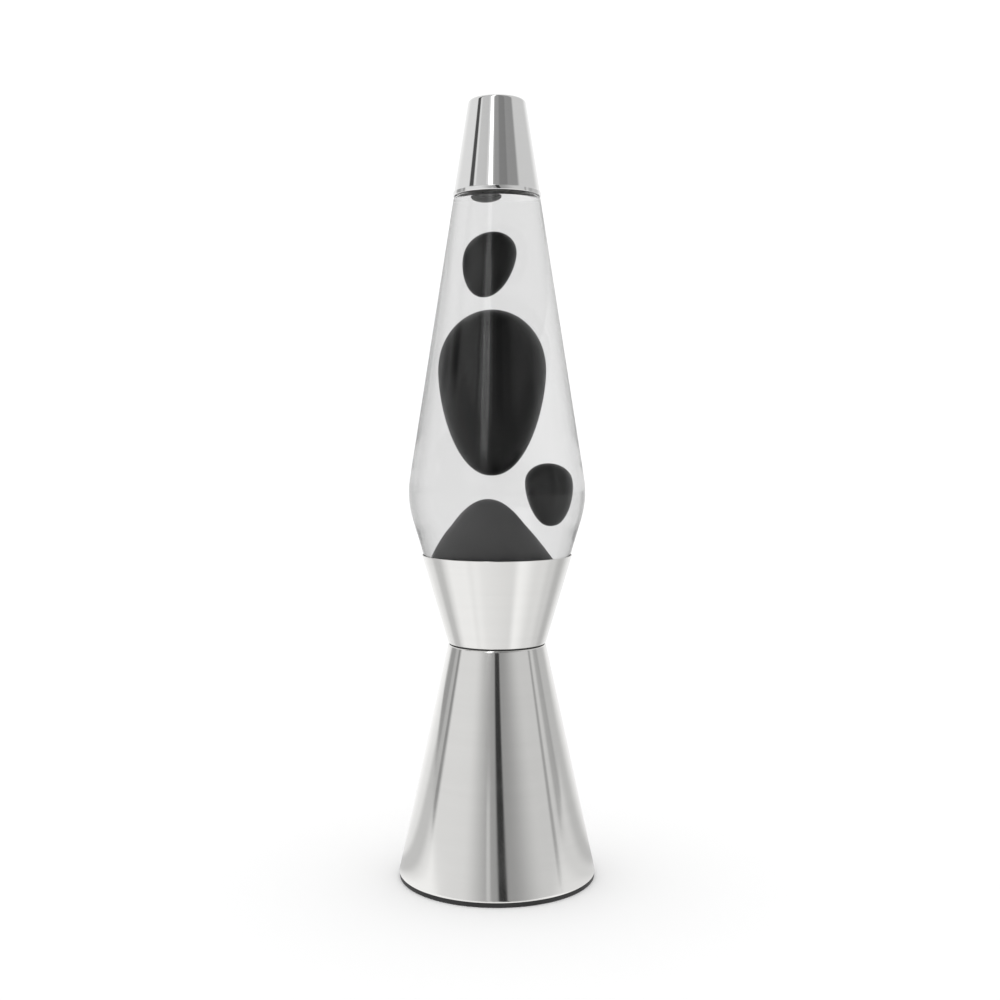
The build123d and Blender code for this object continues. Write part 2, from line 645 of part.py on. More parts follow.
def terminal_fixing_screw():
    """Round-headed screw up through the cover into the terminal block."""
    low = COVER_LIFT + COVER_RAISE
    head_low = low - BLOCK_SCREW_HEAD_HEIGHT
    screw = turned(
        [
            (0, head_low),
            (BLOCK_SCREW_HEAD, head_low),
            (BLOCK_SCREW_HEAD, low),
            (BLOCK_SCREW_RADIUS, low),
            (BLOCK_SCREW_RADIUS, Z_PANEL + BLOCK_SCREW_LENGTH),
            (0, Z_PANEL + BLOCK_SCREW_LENGTH),
        ],
        [0, BLOCK_SCREW_HEAD_HEIGHT / 2, 0, 0, 0, 0],
    )
    recess = cross_recess(CROSS_SPAN * BLOCK_SCREW_HEAD, BLOCK_SCREW_HEAD_HEIGHT / 2, head_low)
    return Pos(0, block_centre(), 0) * (screw - recess)


def socket_lead(side):
    """Insulated lead from the lampholder's chamber, down the nipple and round into the terminal block."""
    pole_level = Z_PANEL + POLE_LEVEL
    entry = block_centre() - INSERT_LENGTH / 2
    path = FilletPolyline(
        (side * LEAD_SPREAD, 0, Z_CHAMBER + CHAMBER_HEIGHT - LEAD_RADIUS),
        (side * LEAD_SPREAD, 0, pole_level),
        (side * POLE_PITCH / 2, entry, pole_level),
        (side * POLE_PITCH / 2, entry + CLAMP_OFFSET, pole_level),
        radius=[min(LEAD_BEND, entry / 2), LEAD_RADIUS],
    )
    section = Plane(origin=path @ 0, z_dir=path % 0) * Circle(LEAD_RADIUS)
    return sweep(section, path)


# ---------------------------------------------------------------- bulb
def bulb_outline(inset):
    """Corners and roundings of the bulb's glass, moved in by inset."""
    neck, girth, top = BULB_NECK_RADIUS - inset, BULB_RADIUS - inset, Z_BULB + BULB_LENGTH - inset
    corners = [
        (neck, Z_BULB + BULB_FLARE_START),
        (girth, Z_BULB + BULB_FLARE_END),
        (girth, top),
        (0, top),
    ]
    return corners, [BULB_FLARE_ROUND + inset, BULB_GIRTH_ROUND - inset, BULB_DOME * girth, 0]


def bulb_glass():
    """The bulb's envelope, open at the neck where the stem closes it."""
    outer, outer_round = bulb_outline(0)
    inner, inner_round = bulb_outline(BULB_GLASS)
    start = Z_BULB + BULB_GLASS_START
    neck = BULB_NECK_RADIUS
    return turned(
        [(neck, start), *outer, *reversed(inner), (neck - BULB_GLASS, start)],
        [0, *outer_round, *reversed(inner_round), 0],
    )


def bulb_stem():
    """Glass stem inside the bulb: a flare that closes the neck, a tube and a flat pinch for the wires."""
    start = Z_BULB + BULB_GLASS_START
    flare = BULB_NECK_RADIUS - BULB_GLASS - FIT_GAP
    pinch_low = Z_BULB + STEM_HEIGHT - PINCH_HEIGHT
    body = turned(
        [
            (0, start),
            (flare, start),
            (flare, start + STEM_FLARE_EDGE),
            (STEM_TUBE, start + STEM_FLARE_HEIGHT),
            (STEM_TUBE, pinch_low + PINCH_LAP),
            (0, pinch_low + PINCH_LAP),
        ],
        [0, 0, STEM_FLARE_EDGE / 3, STEM_TUBE, 0, 0],
    )
    return body + Pos(0, 0, pinch_low + PINCH_HEIGHT / 2) * Box(PINCH_WIDTH, PINCH_DEPTH, PINCH_HEIGHT)


def bulb_filament():
    """Two support wires and the coiled filament between them, as the outer shape of its coil."""
    low, high = Z_BULB + STEM_HEIGHT, Z_BULB + FILAMENT_HEIGHT
    half, root, parting = FILAMENT_SPAN / 2, FILAMENT_ROOT, low + FILAMENT_STRAIGHT
    pieces = []
    for side in (-1, 1):
        wire = Polyline((side * root, 0, low), (side * root, 0, parting), (side * half, 0, high))
        section = Plane(origin=wire @ 0, z_dir=wire % 0) * Circle(FILAMENT_WIRE)
        pieces.append(sweep(section, wire, transition=Transition.RIGHT))
    coil = Pos(0, 0, high + FILAMENT_WIRE) * Rot(0, 90, 0) * Cylinder(2 * FILAMENT_WIRE, FILAMENT_SPAN)
    return pieces[0] + pieces[1] + coil


def bulb_cap():
    """The bulb's rolled metal cap."""
    inner = THREAD_RADIUS - BULB_CAP_SHEET
    start = Z_BULB + INSULATOR_TOP - INSULATOR_EDGE
    return threaded_sheet(inner, BULB_CAP_SHEET, start, Z_BULB + THREAD_START, Z_BULB + BULB_CAP_END)


def bulb_insulator():
    """Dark glass between the cap and the tip contact."""
    edge = THREAD_RADIUS - BULB_CAP_SHEET - FIT_GAP
    return turned(
        [
            (0, Z_BULB + TIP_HEIGHT),
            (2 * TIP_RADIUS, Z_BULB + TIP_HEIGHT + INSULATOR_RISE),
            (edge, Z_BULB + INSULATOR_TOP - INSULATOR_EDGE),
            (edge, Z_BULB + INSULATOR_TOP),
            (0, Z_BULB + INSULATOR_TOP),
        ]
    )


def bulb_tip():
    """Solder button at the bulb's foot."""
    rise = TIP_HEIGHT + INSULATOR_RISE / 2
    return turned(
        [
            (0, Z_BULB),
            (TIP_FACE * TIP_RADIUS, Z_BULB),
            (TIP_RADIUS, Z_BULB + rise),
            (0, Z_BULB + TIP_HEIGHT),
        ],
        [0, TIP_ROUND, 0, 0],
    )


# ---------------------------------------------------------------- globe
def globe_outline(inset, floor):
    """Corners and roundings of the globe from its foot to its shoulder, moved in by inset."""
    seat_step = inset / cos(atan(CUP_SLOPE))
    heel = seat_radius(Z_GLOBE)
    corners = [
        (heel - seat_step + CUP_SLOPE * floor, Z_GLOBE + floor),
        (seat_radius(Z_RIM) - seat_step, Z_RIM),
        (BELLY_RADIUS - inset, Z_BELLY),
        (SHOULDER_RADIUS - inset, Z_SHOULDER),
    ]
    return corners, [HEEL_ROUND - min(inset, 1), SEAT_BLEND, BELLY_BLEND - inset]


def globe_glass():
    """The glass vessel: heel with a shallow punt, seat cone, belly, long taper, shoulder and neck."""
    outer, outer_round = globe_outline(0, 0)
    inner, inner_round = globe_outline(GLASS_WALL, GLASS_FLOOR)
    corners = [
        (0, Z_GLOBE),
        *outer,
        (NECK_RADIUS, Z_NECK),
        (NECK_RADIUS, Z_BEAD),
        (BEAD_RADIUS, Z_BEAD + BEAD_RADIUS - NECK_RADIUS),
        (BEAD_RADIUS, Z_MOUTH),
        (NECK_BORE, Z_MOUTH),
        (NECK_BORE, Z_NECK),
        *reversed(inner),
        (0, Z_FLOOR),
    ]
    rounds = [
        0,
        *outer_round,
        SHOULDER_ROUND,
        2 * SHOULDER_ROUND,
        0,
        BEAD_ROUND / 2,
        BEAD_ROUND,
        BEAD_ROUND / 2,
        2 * SHOULDER_ROUND,
        2 * SHOULDER_ROUND,
        *reversed(inner_round),
        0,
    ]
    sphere_radius = (PUNT_RADIUS**2 + PUNT_DEPTH**2) / (2 * PUNT_DEPTH)
    punt = Pos(0, 0, Z_GLOBE + PUNT_DEPTH - sphere_radius) * Sphere(sphere_radius)
    return turned(corners, rounds) - punt


def vessel_fill(gap):
    """Solid that fills the globe from its floor to the liquid's surface, gap clear of the glass."""
    inner, inner_round = globe_outline(GLASS_WALL + gap, GLASS_FLOOR + gap)
    foot, rim, belly, shoulder = inner
    taper = (belly[0] - shoulder[0]) / (shoulder[1] - belly[1])
    surface = (shoulder[0] + taper * LIQUID_DROP, Z_LIQUID)
    return turned(
        [(0, foot[1]), foot, rim, belly, surface, (0, Z_LIQUID)],
        [0, *inner_round, 0, 0],
    )


def pool_shape():
    """The wax at rest: it covers the floor and rises in a dome."""
    edge_level = Z_FLOOR + WAX_STRETCH * POOL_EDGE_RISE
    edge = (seat_radius(edge_level), edge_level)
    flank = (POOL_FLANK_RADIUS, Z_FLOOR + WAX_STRETCH * POOL_FLANK_RISE)
    shoulder = (POOL_SHOULDER_RADIUS, Z_FLOOR + WAX_STRETCH * POOL_SHOULDER_RISE)
    top = (0, Z_FLOOR + WAX_STRETCH * POOL_RISE)
    dome = Spline(edge, flank, shoulder, top, tangents=[(-1, POOL_EDGE_SLOPE), (-1, 0)])
    sides = Polyline(top, (0, Z_FLOOR), (edge[0], Z_FLOOR), edge)
    return revolve(Plane.XZ * make_face(Curve() + [dome, sides]), Axis.Z)


def coil_shape(gap):
    """Outer shape of the wire coil that lies in a ring on the globe's floor."""
    level = Z_FLOOR + COIL_LIFT + COIL_RADIUS
    return Pos(0, 0, level) * Torus(COIL_RING_RADIUS, COIL_RADIUS + gap)


def blob_shape(spec, gap=0.0, drift=0):
    """An egg on its own upright axis, or with drift the space that its travel takes, grown by gap."""
    radius = spec["radius"] + gap
    up, down = drift * spec["rise"], drift * spec["sink"]
    above, below = WAX_STRETCH * spec["above"] + gap, WAX_STRETCH * spec["below"] + gap
    full = ROUND_FULLNESS
    top, foot = up + above, -down - below
    outline = Curve() + [
        Bezier((0, top), (full * radius, top), (radius, up + full * above), (radius, up)),
        Bezier((radius, -down), (radius, -down - full * below), (full * radius, foot), (0, foot)),
        Line((0, top), (0, foot)),
    ]
    if drift:
        outline += Line((radius, -down), (radius, up))
    egg = revolve(Plane.XZ * make_face(outline), Axis.Z)
    return Pos(*spec["place"], Z_FLOOR + WAX_STRETCH * spec["level"]) * egg


def lens_shape(gap):
    """Flattened cap of wax that clings under the liquid's surface."""
    half = Sphere(1) & Pos(0, 0, -1) * Box(4, 4, 2)
    grown = scale(half, (LENS_RADIUS + gap, LENS_RADIUS + gap, LENS_DEPTH + gap))
    return Pos(*LENS_PLACE, Z_LIQUID) * grown


def wax_pool():
    """Wax on the globe's floor, cast round the coil."""
    return (vessel_fill(FILL_GAP) & pool_shape()) - coil_shape(FILL_GAP)


def globe_liquid():
    """Clear liquid, less the wax in it and the paths that the blobs drift along."""
    liquid = vessel_fill(FILL_GAP) - pool_shape() - lens_shape(0)
    for spec in BLOBS.values():
        liquid -= blob_shape(spec, gap=BLOB_GAP, drift=1)
    return liquid


# ---------------------------------------------------------------- crown cap and decorative cap
def crown_liner():
    """Soft disc that seals the mouth."""
    return rod(CROWN_TOP_RADIUS - CROWN_ROUND, Z_MOUTH, Z_MOUTH + LINER_THICKNESS)


def crown_cap():
    """Pressed crown cap, without its flutes."""
    top = Z_MOUTH + LINER_THICKNESS + CROWN_SHEET
    t = CROWN_SHEET
    hip = top - CROWN_SHOULDER_HEIGHT
    return turned(
        [
            (0, top - t),
            (CROWN_TOP_RADIUS - t, top - t),
            (CROWN_TOP_RADIUS, hip),
            (CROWN_SKIRT_RADIUS - t, top - CROWN_HEIGHT),
            (CROWN_SKIRT_RADIUS, top - CROWN_HEIGHT),
            (CROWN_TOP_RADIUS + t, hip),
            (CROWN_TOP_RADIUS, top),
            (0, top),
        ],
        [0, CROWN_ROUND - t, 0, 0, 0, 0, CROWN_ROUND, 0],
    )


def top_cap():
    """Spun cap: a closed cone with a rounded top edge and a small bead round its mouth."""
    t = CAP_WALL
    bead_high = Z_CAP + CAP_BEAD_HEIGHT
    above_bead = SHOULDER_RADIUS - CAP_SLOPE * CAP_BEAD_HEIGHT
    return turned(
        [
            (SHOULDER_RADIUS - t, Z_CAP),
            (SHOULDER_RADIUS + CAP_BEAD_LIP, Z_CAP),
            (SHOULDER_RADIUS + CAP_BEAD_LIP, bead_high),
            (above_bead, bead_high + CAP_BEAD_LIP),
            (CAP_TOP_RADIUS, Z_TOP),
            (0, Z_TOP),
            (0, Z_TOP - t),
            (CAP_TOP_RADIUS + CAP_SLOPE * t - t, Z_TOP - t),
        ],
        [CAP_MOUTH_ROUND, CAP_BEAD_ROUND, CAP_BEAD_ROUND, 0, CAP_TOP_ROUND, 0, 0, CAP_TOP_ROUND - t],
    )


# ---------------------------------------------------------------- write every node
NODES = {
    "base_cone": base_cone(),
    "base_cup": base_cup(),
    "waist_gasket": waist_gasket(),
    "waist_ferrule": waist_ferrule(),
    "foot_ring": foot_ring(),
    "bottom_cover": bottom_cover(),
    "cover_screws": cover_screws(),
    "cord_gland": cord_gland(),
    "socket_bracket": socket_bracket(),
    "bracket_rivets": bracket_rivets(),
    "socket_housing": socket_housing(),
    "socket_shell": socket_shell(),
    "socket_contact": socket_contact(),
    "socket_nipple": socket_nipple(),
    "lock_washer": lock_washer(),
    "nipple_nut": nipple_nut(),
    "socket_lead_live": socket_lead(1),
    "socket_lead_neutral": socket_lead(-1),
    "terminal_block": terminal_block(),
    "terminal_inserts": terminal_inserts(),
    "terminal_screws": terminal_screws(),
    "terminal_fixing_screw": terminal_fixing_screw(),
    "bulb_glass": bulb_glass(),
    "bulb_stem": bulb_stem(),
    "bulb_filament": bulb_filament(),
    "bulb_cap": bulb_cap(),
    "bulb_insulator": bulb_insulator(),
    "bulb_tip": bulb_tip(),
    "globe_glass": globe_glass(),
    "globe_liquid": globe_liquid(),
    "wax_pool": wax_pool(),
    "wax_coil": coil_shape(0),
    "wax_surface_lens": lens_shape(-FILL_GAP),
    "crown_liner": crown_liner(),
    "crown_cap": crown_cap(),
    "top_cap": top_cap(),
}
for blob_name, blob_spec in BLOBS.items():
    NODES[blob_name] = blob_shape(blob_spec)

os.makedirs("parts", exist_ok=True)
for name, made in NODES.items():
    whole = Compound(children=made) if isinstance(made, list) else made
    export_step(whole, f"parts/{name}.step")

wall_plane = gland_plane()
print("overall height", round(Z_TOP, 3), "waist radius", round(WAIST_RADIUS, 3))
print("gland middle", wall_plane.origin, "axis", wall_plane.z_dir)
print("levels", dict(bulb=Z_BULB, waist=Z_WAIST, rim=Z_RIM, globe=Z_GLOBE, cap=Z_CAP, mouth=Z_MOUTH))
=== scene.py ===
"""Rocket lava lamp: visible surfaces and finishes, built round the lamp's packed mechanical model.

Lengths are metres, +Z is up and the origin is the middle of the foot's underside. The front is -Y.
Turned pieces are an outline of (radius, height) points carried round the lamp's axis.
"""

import logging
import math
from collections.abc import Sequence
from dataclasses import dataclass, replace
from enum import Enum

import bpy
import numpy as np
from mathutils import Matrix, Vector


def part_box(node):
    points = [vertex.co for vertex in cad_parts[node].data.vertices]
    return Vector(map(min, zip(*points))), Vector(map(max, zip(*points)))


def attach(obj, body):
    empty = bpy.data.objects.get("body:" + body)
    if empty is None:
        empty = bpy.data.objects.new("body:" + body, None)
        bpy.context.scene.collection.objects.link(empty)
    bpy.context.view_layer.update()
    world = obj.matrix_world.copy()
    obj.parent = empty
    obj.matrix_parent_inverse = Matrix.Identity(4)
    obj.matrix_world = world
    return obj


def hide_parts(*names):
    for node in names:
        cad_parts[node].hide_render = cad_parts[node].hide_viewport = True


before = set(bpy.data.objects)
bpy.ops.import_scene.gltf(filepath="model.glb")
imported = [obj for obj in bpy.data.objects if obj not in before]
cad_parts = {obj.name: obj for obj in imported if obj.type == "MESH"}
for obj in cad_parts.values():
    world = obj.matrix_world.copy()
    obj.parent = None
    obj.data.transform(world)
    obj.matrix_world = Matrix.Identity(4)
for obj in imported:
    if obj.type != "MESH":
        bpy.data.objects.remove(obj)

MM = 0.001
TURN = 2 * math.pi
MERGE_STEP = 0.002 * MM
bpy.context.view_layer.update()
log = logging.getLogger("lava_lamp")


class Roundness(Enum):
    """How many steps a full turn is divided into."""

    LARGE = 288
    MEDIUM = 144
    SMALL = 72


# ------------------------------------------------------------------------------ surfaces


def rounded_outline(
    corners: Sequence[tuple[float, float]], radii: Sequence[float], closed: bool = True, fineness: int = 10
) -> np.ndarray:
    """Outline through corners, with each corner replaced by an arc that touches both of its runs.

    The arc's middle lies on the corner's bisector at radius / sin(half the angle), and the arc starts
    radius / tan(half the angle) back along each run.

    Args:
        corners: the outline's corners, as (radius, height).
        radii: the arc's radius at each corner, 0 for a sharp one.
        closed: whether the last corner joins the first.
        fineness: the number of steps in a quarter turn of arc.

    Returns:
        The outline's points, one row each.
    """
    points = np.asarray(corners, float)
    rows = []
    for index, radius in enumerate(radii):
        here = points[index]
        if radius == 0 or (not closed and index in (0, len(points) - 1)):
            rows.append(here[None])
            continue
        back = points[index - 1] - here
        ahead = points[(index + 1) % len(points)] - here
        back, ahead = back / np.linalg.norm(back), ahead / np.linalg.norm(ahead)
        half = 0.5 * math.acos(float(np.clip(back @ ahead, -1, 1)))
        bisector = (back + ahead) / np.linalg.norm(back + ahead)
        middle = here + bisector * radius / math.sin(half)
        start = here + back * radius / math.tan(half) - middle
        end = here + ahead * radius / math.tan(half) - middle
        first = math.atan2(start[1], start[0])
        sweep = (math.atan2(end[1], end[0]) - first + math.pi) % TURN - math.pi
        steps = max(3, math.ceil(abs(sweep) / (TURN / 4) * fineness), math.ceil(abs(sweep) * radius / MM))
        angles = first + sweep * np.linspace(0, 1, steps + 1)
        rows.append(middle + radius * np.column_stack([np.cos(angles), np.sin(angles)]))
    return np.vstack(rows)


def held_outline(outline: np.ndarray, hold: float = 0.5 * MM, longest: float = 6 * MM) -> np.ndarray:
    """Adds points along a closed outline's long runs: one close to each end, so that the shading of a
    rounded edge doesn't spread over the run, and evenly spaced ones between them."""
    rows = []
    for start, end in zip(outline, np.roll(outline, -1, axis=0)):
        length = float(np.linalg.norm(end - start))
        if length < 4 * hold:
            rows.append(start[None])
            continue
        inner = np.linspace(hold / length, 1 - hold / length, 2 + int(length / longest))
        shares = np.concatenate([[0.0], inner])
        rows.append(start + shares[:, None] * (end - start))
    return np.vstack(rows)


def mesh_object(
    name: str, vertices: np.ndarray, faces: np.ndarray, smooth_angle: float
) -> bpy.types.Object:
    """Makes an object from vertex and face arrays, with its faces turned outwards.

    Points that share a place are merged, which closes seams and poles: there a face keeps three corners,
    or goes. If six times the signed volume, the sum over triangles of a . (b x c), is negative, every
    face is turned round.

    Args:
        name: the piece's name.
        vertices: one row of x, y, z for each vertex.
        faces: one row of four vertex numbers for each face.
        smooth_angle: edges that turn by more degrees than this are shaded as sharp.

    Returns:
        The new object, at the origin.
    """
    keys = np.round(vertices / MERGE_STEP).astype(np.int64)
    _, kept, where = np.unique(keys, axis=0, return_index=True, return_inverse=True)
    vertices, faces = vertices[kept], where.reshape(-1)[faces]
    fresh = faces != np.roll(faces, 1, axis=1)
    corners = fresh.sum(axis=1)
    three = faces[corners == 3][fresh[corners == 3]].reshape(-1, 3)
    mesh = bpy.data.meshes.new(name)
    mesh.from_pydata(vertices.tolist(), [], faces[corners == 4].tolist() + three.tolist())
    mesh.calc_loop_triangles()
    triangles = np.empty(len(mesh.loop_triangles) * 3, np.int32)
    mesh.loop_triangles.foreach_get("vertices", triangles)
    a, b, c = (vertices[triangles[i::3]] for i in range(3))
    if np.einsum("ij,ij->i", a, np.cross(b, c)).sum() < 0:
        mesh.flip_normals()
    mesh.shade_smooth()
    mesh.set_sharp_from_angle(angle=math.radians(smooth_angle))
    made = bpy.data.objects.new(name, mesh)
    bpy.context.scene.collection.objects.link(made)
    return made


def skin(
    name: str, grids: Sequence[np.ndarray], closed: bool, smooth_angle: float = 32.0
) -> bpy.types.Object:
    """One object from grids of points, each joined round along its rows by four-cornered faces.

    Args:
        name: the piece's name.
        grids: arrays of x, y, z points in rows and columns, all of one size.
        closed: whether each grid's last row joins its first.
        smooth_angle: edges that turn by more degrees than this are shaded as sharp.

    Returns:
        The new object.
    """
    rows, columns = grids[0].shape[:2]
    r, c = (g.ravel() for g in np.indices((rows if closed else rows - 1, columns)))
    r_next, c_next = (r + 1) % rows, (c + 1) % columns
    corners = [r * columns + c, r * columns + c_next, r_next * columns + c_next, r_next * columns + c]
    faces = np.stack(corners, axis=1)
    starts = rows * columns * np.arange(len(grids))
    vertices = np.concatenate([grid.reshape(-1, 3) for grid in grids])
    return mesh_object(name, vertices, (starts[:, None, None] + faces).reshape(-1, 4), smooth_angle)


def whole_turn(steps: int) -> np.ndarray:
    """Evenly spaced angles of a whole turn, without the last, which is the first again."""
    return TURN * np.arange(steps) / steps


def ring_grid(
    reach: np.ndarray | tuple[np.ndarray, np.ndarray],
    height: np.ndarray,
    angle: np.ndarray,
    middle: tuple[float | np.ndarray, float] = (0.0, 0.0),
) -> np.ndarray:
    """Grid of rings, one for each height: (middle x + reach x cos a, middle y + reach y sin a, height).

    Args:
        reach: the rings' radii, or their reaches along X and along Y, with a row for each ring.
        height: the rings' heights.
        angle: the angles a of the points round each ring.
        middle: the rings' middle, whose x may be a column.

    Returns:
        The points, with a row for each ring.
    """
    reach_x, reach_y = reach if isinstance(reach, tuple) else (reach, reach)
    x = middle[0] + reach_x * np.cos(angle)
    y = middle[1] + reach_y * np.sin(angle)
    return np.stack([x, y, height[:, None] + 0 * x], axis=-1)


def turned(name: str, outline: np.ndarray, roundness: Roundness = Roundness.LARGE) -> bpy.types.Object:
    """Surface of revolution of a closed outline: each point (r, z) goes to (r cos a, r sin a, z).

    Args:
        name: the piece's name.
        outline: points of (radius, height).
        roundness: how many steps the turn has.

    Returns:
        The new object.
    """
    return skin(name, [ring_grid(outline[:, 0, None], outline[:, 1], whole_turn(roundness.value))], True)


def tube_grid(path: np.ndarray, radius: float, sides: int, joined: bool = False) -> np.ndarray:
    """Round section carried along a path.

    The section lies across the path's direction, on axes turned as little as possible from the
    upright: across = direction x up, and over = across x direction.

    Args:
        path: points of the centre line.
        radius: the section's radius.
        sides: the number of points round the section.
        joined: whether the path closes on itself. An open tube is capped.

    Returns:
        The points, with a row for each point of the path and each cap.
    """
    around = np.roll(path, -1, axis=0) - np.roll(path, 1, axis=0) if joined else np.gradient(path, axis=0)
    direction = around / np.linalg.norm(around, axis=1, keepdims=True)
    up = np.where(np.abs(direction[:, 2:]) > 0.95, [[0.0, 1.0, 0.0]], [[0.0, 0.0, 1.0]])
    across = np.cross(direction, up)
    across /= np.linalg.norm(across, axis=1, keepdims=True)
    over = np.cross(across, direction)
    angle = whole_turn(sides)
    ring = np.cos(angle)[None, :, None] * across[:, None] + np.sin(angle)[None, :, None] * over[:, None]
    grid = path[:, None] + radius * ring
    if not joined:
        ends = [np.repeat(path[i][None, None], sides, axis=1) for i in (0, -1)]
        grid = np.concatenate([ends[0], grid, ends[1]])
    return grid


def place(piece: bpy.types.Object, body: str, slot: str, material: bpy.types.Material, *nodes: str) -> None:
    """Finishes a piece: its material, the body it rides on and the nodes it stands for."""
    piece.data.materials.clear()
    piece.data.materials.append(material)
    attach(piece, body)
    if nodes:
        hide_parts(*nodes)
    log.info("%s rides on %s with %d faces", piece.name, body, len(piece.data.polygons))


def dress(node: str, material: bpy.types.Material) -> None:
    """Gives a node of the mechanical model its material."""
    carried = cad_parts[node]
    carried.data.materials.clear()
    carried.data.materials.append(material)
    log.info("%s keeps its own mesh", node)


# ------------------------------------------------------------------------------ shader building


class Sheet:
    """A node tree with short ways to add a node and join its sockets."""

    def __init__(self, tree: bpy.types.NodeTree) -> None:
        """Takes the tree and empties it."""
        self.tree = tree
        tree.nodes.clear()

    def add(self, kind: str, settings: dict | None = None, **sockets: object) -> bpy.types.Node:
        """Adds a node.

        Args:
            kind: the node's type, without its ShaderNode prefix.
            settings: the node's own properties.
            **sockets: input sockets by name, with _ for a space. A socket is joined, a value is set.

        Returns:
            The new node.
        """
        node = self.tree.nodes.new("ShaderNode" + kind)
        for name, value in (settings or {}).items():
            setattr(node, name, value)
        for name, value in sockets.items():
            self.set(node.inputs[name.replace("_", " ")], value)
        return node

    def set(self, socket: bpy.types.NodeSocket, value: object) -> None:
        """Joins an output to a socket, or sets the socket's value."""
        if isinstance(value, bpy.types.NodeSocket):
            self.tree.links.new(value, socket)
        else:
            socket.default_value = value

    def math(self, operation: str, *values: object) -> bpy.types.NodeSocket:
        """One math node's result."""
        node = self.tree.nodes.new("ShaderNodeMath")
        node.operation = operation
        for socket, value in zip(node.inputs, values):
            self.set(socket, value)
        return node.outputs[0]

    def vector(self, operation: str, *values: object) -> bpy.types.Node:
        """One vector math node."""
        node = self.add("VectorMath", {"operation": operation})
        for socket, value in zip(node.inputs, values):
            self.set(socket, value)
        return node

    def group(self, tree: bpy.types.NodeTree, **sockets: object) -> bpy.types.Node:
        """Places a group, with its own values."""
        node = self.tree.nodes.new("ShaderNodeGroup")
        node.node_tree = tree
        for name, value in sockets.items():
            self.set(node.inputs[name], value)
        return node

    def mix(self, share: object, first: bpy.types.Node, second: bpy.types.Node) -> bpy.types.Node:
        """Mixes two shaders, with a share of 0 for the first alone and 1 for the second."""
        node = self.tree.nodes.new("ShaderNodeMixShader")
        for socket, value in zip(node.inputs, (share, first.outputs[0], second.outputs[0])):
            self.set(socket, value)
        return node

    def end(self, kind: str, surface: bpy.types.Node) -> None:
        """Joins a shader to the tree's output, whose type is kind."""
        output = self.tree.nodes.new("ShaderNodeOutput" + kind)
        self.set(output.inputs["Surface"], surface.outputs[0])

    def give(self, **results: bpy.types.NodeSocket) -> bpy.types.NodeTree:
        """Joins a group's results to its outputs, and returns the group."""
        output = self.tree.nodes.new("NodeGroupOutput")
        for name, value in results.items():
            self.set(output.inputs[name], value)
        return self.tree

    def ramp(
        self, value: object, low: float, high: float, start: float = 0, end: float = 1
    ) -> bpy.types.NodeSocket:
        """Value carried smoothly from low..high to start..end, and held beyond them."""
        settings = {"interpolation_type": "SMOOTHSTEP"}
        node = self.add(
            "MapRange", settings, Value=value, From_Min=low, From_Max=high, To_Min=start, To_Max=end
        )
        return node.outputs["Result"]


def new_group(name: str, inputs: dict[str, tuple[str, object]], outputs: Sequence[str]) -> Sheet:
    """Starts a shader node group.

    Args:
        name: the group's name.
        inputs: the type and value of each input, by name. A value of None leaves the socket's own.
        outputs: the names of its outputs, which are numbers.

    Returns:
        The group's sheet.
    """
    tree = bpy.data.node_groups.new(name, "ShaderNodeTree")
    for key, (kind, value) in inputs.items():
        socket = tree.interface.new_socket(key, in_out="INPUT", socket_type="NodeSocket" + kind)
        if value is not None:
            socket.default_value = value
    for key in outputs:
        tree.interface.new_socket(key, in_out="OUTPUT", socket_type="NodeSocketFloat")
    return Sheet(tree)


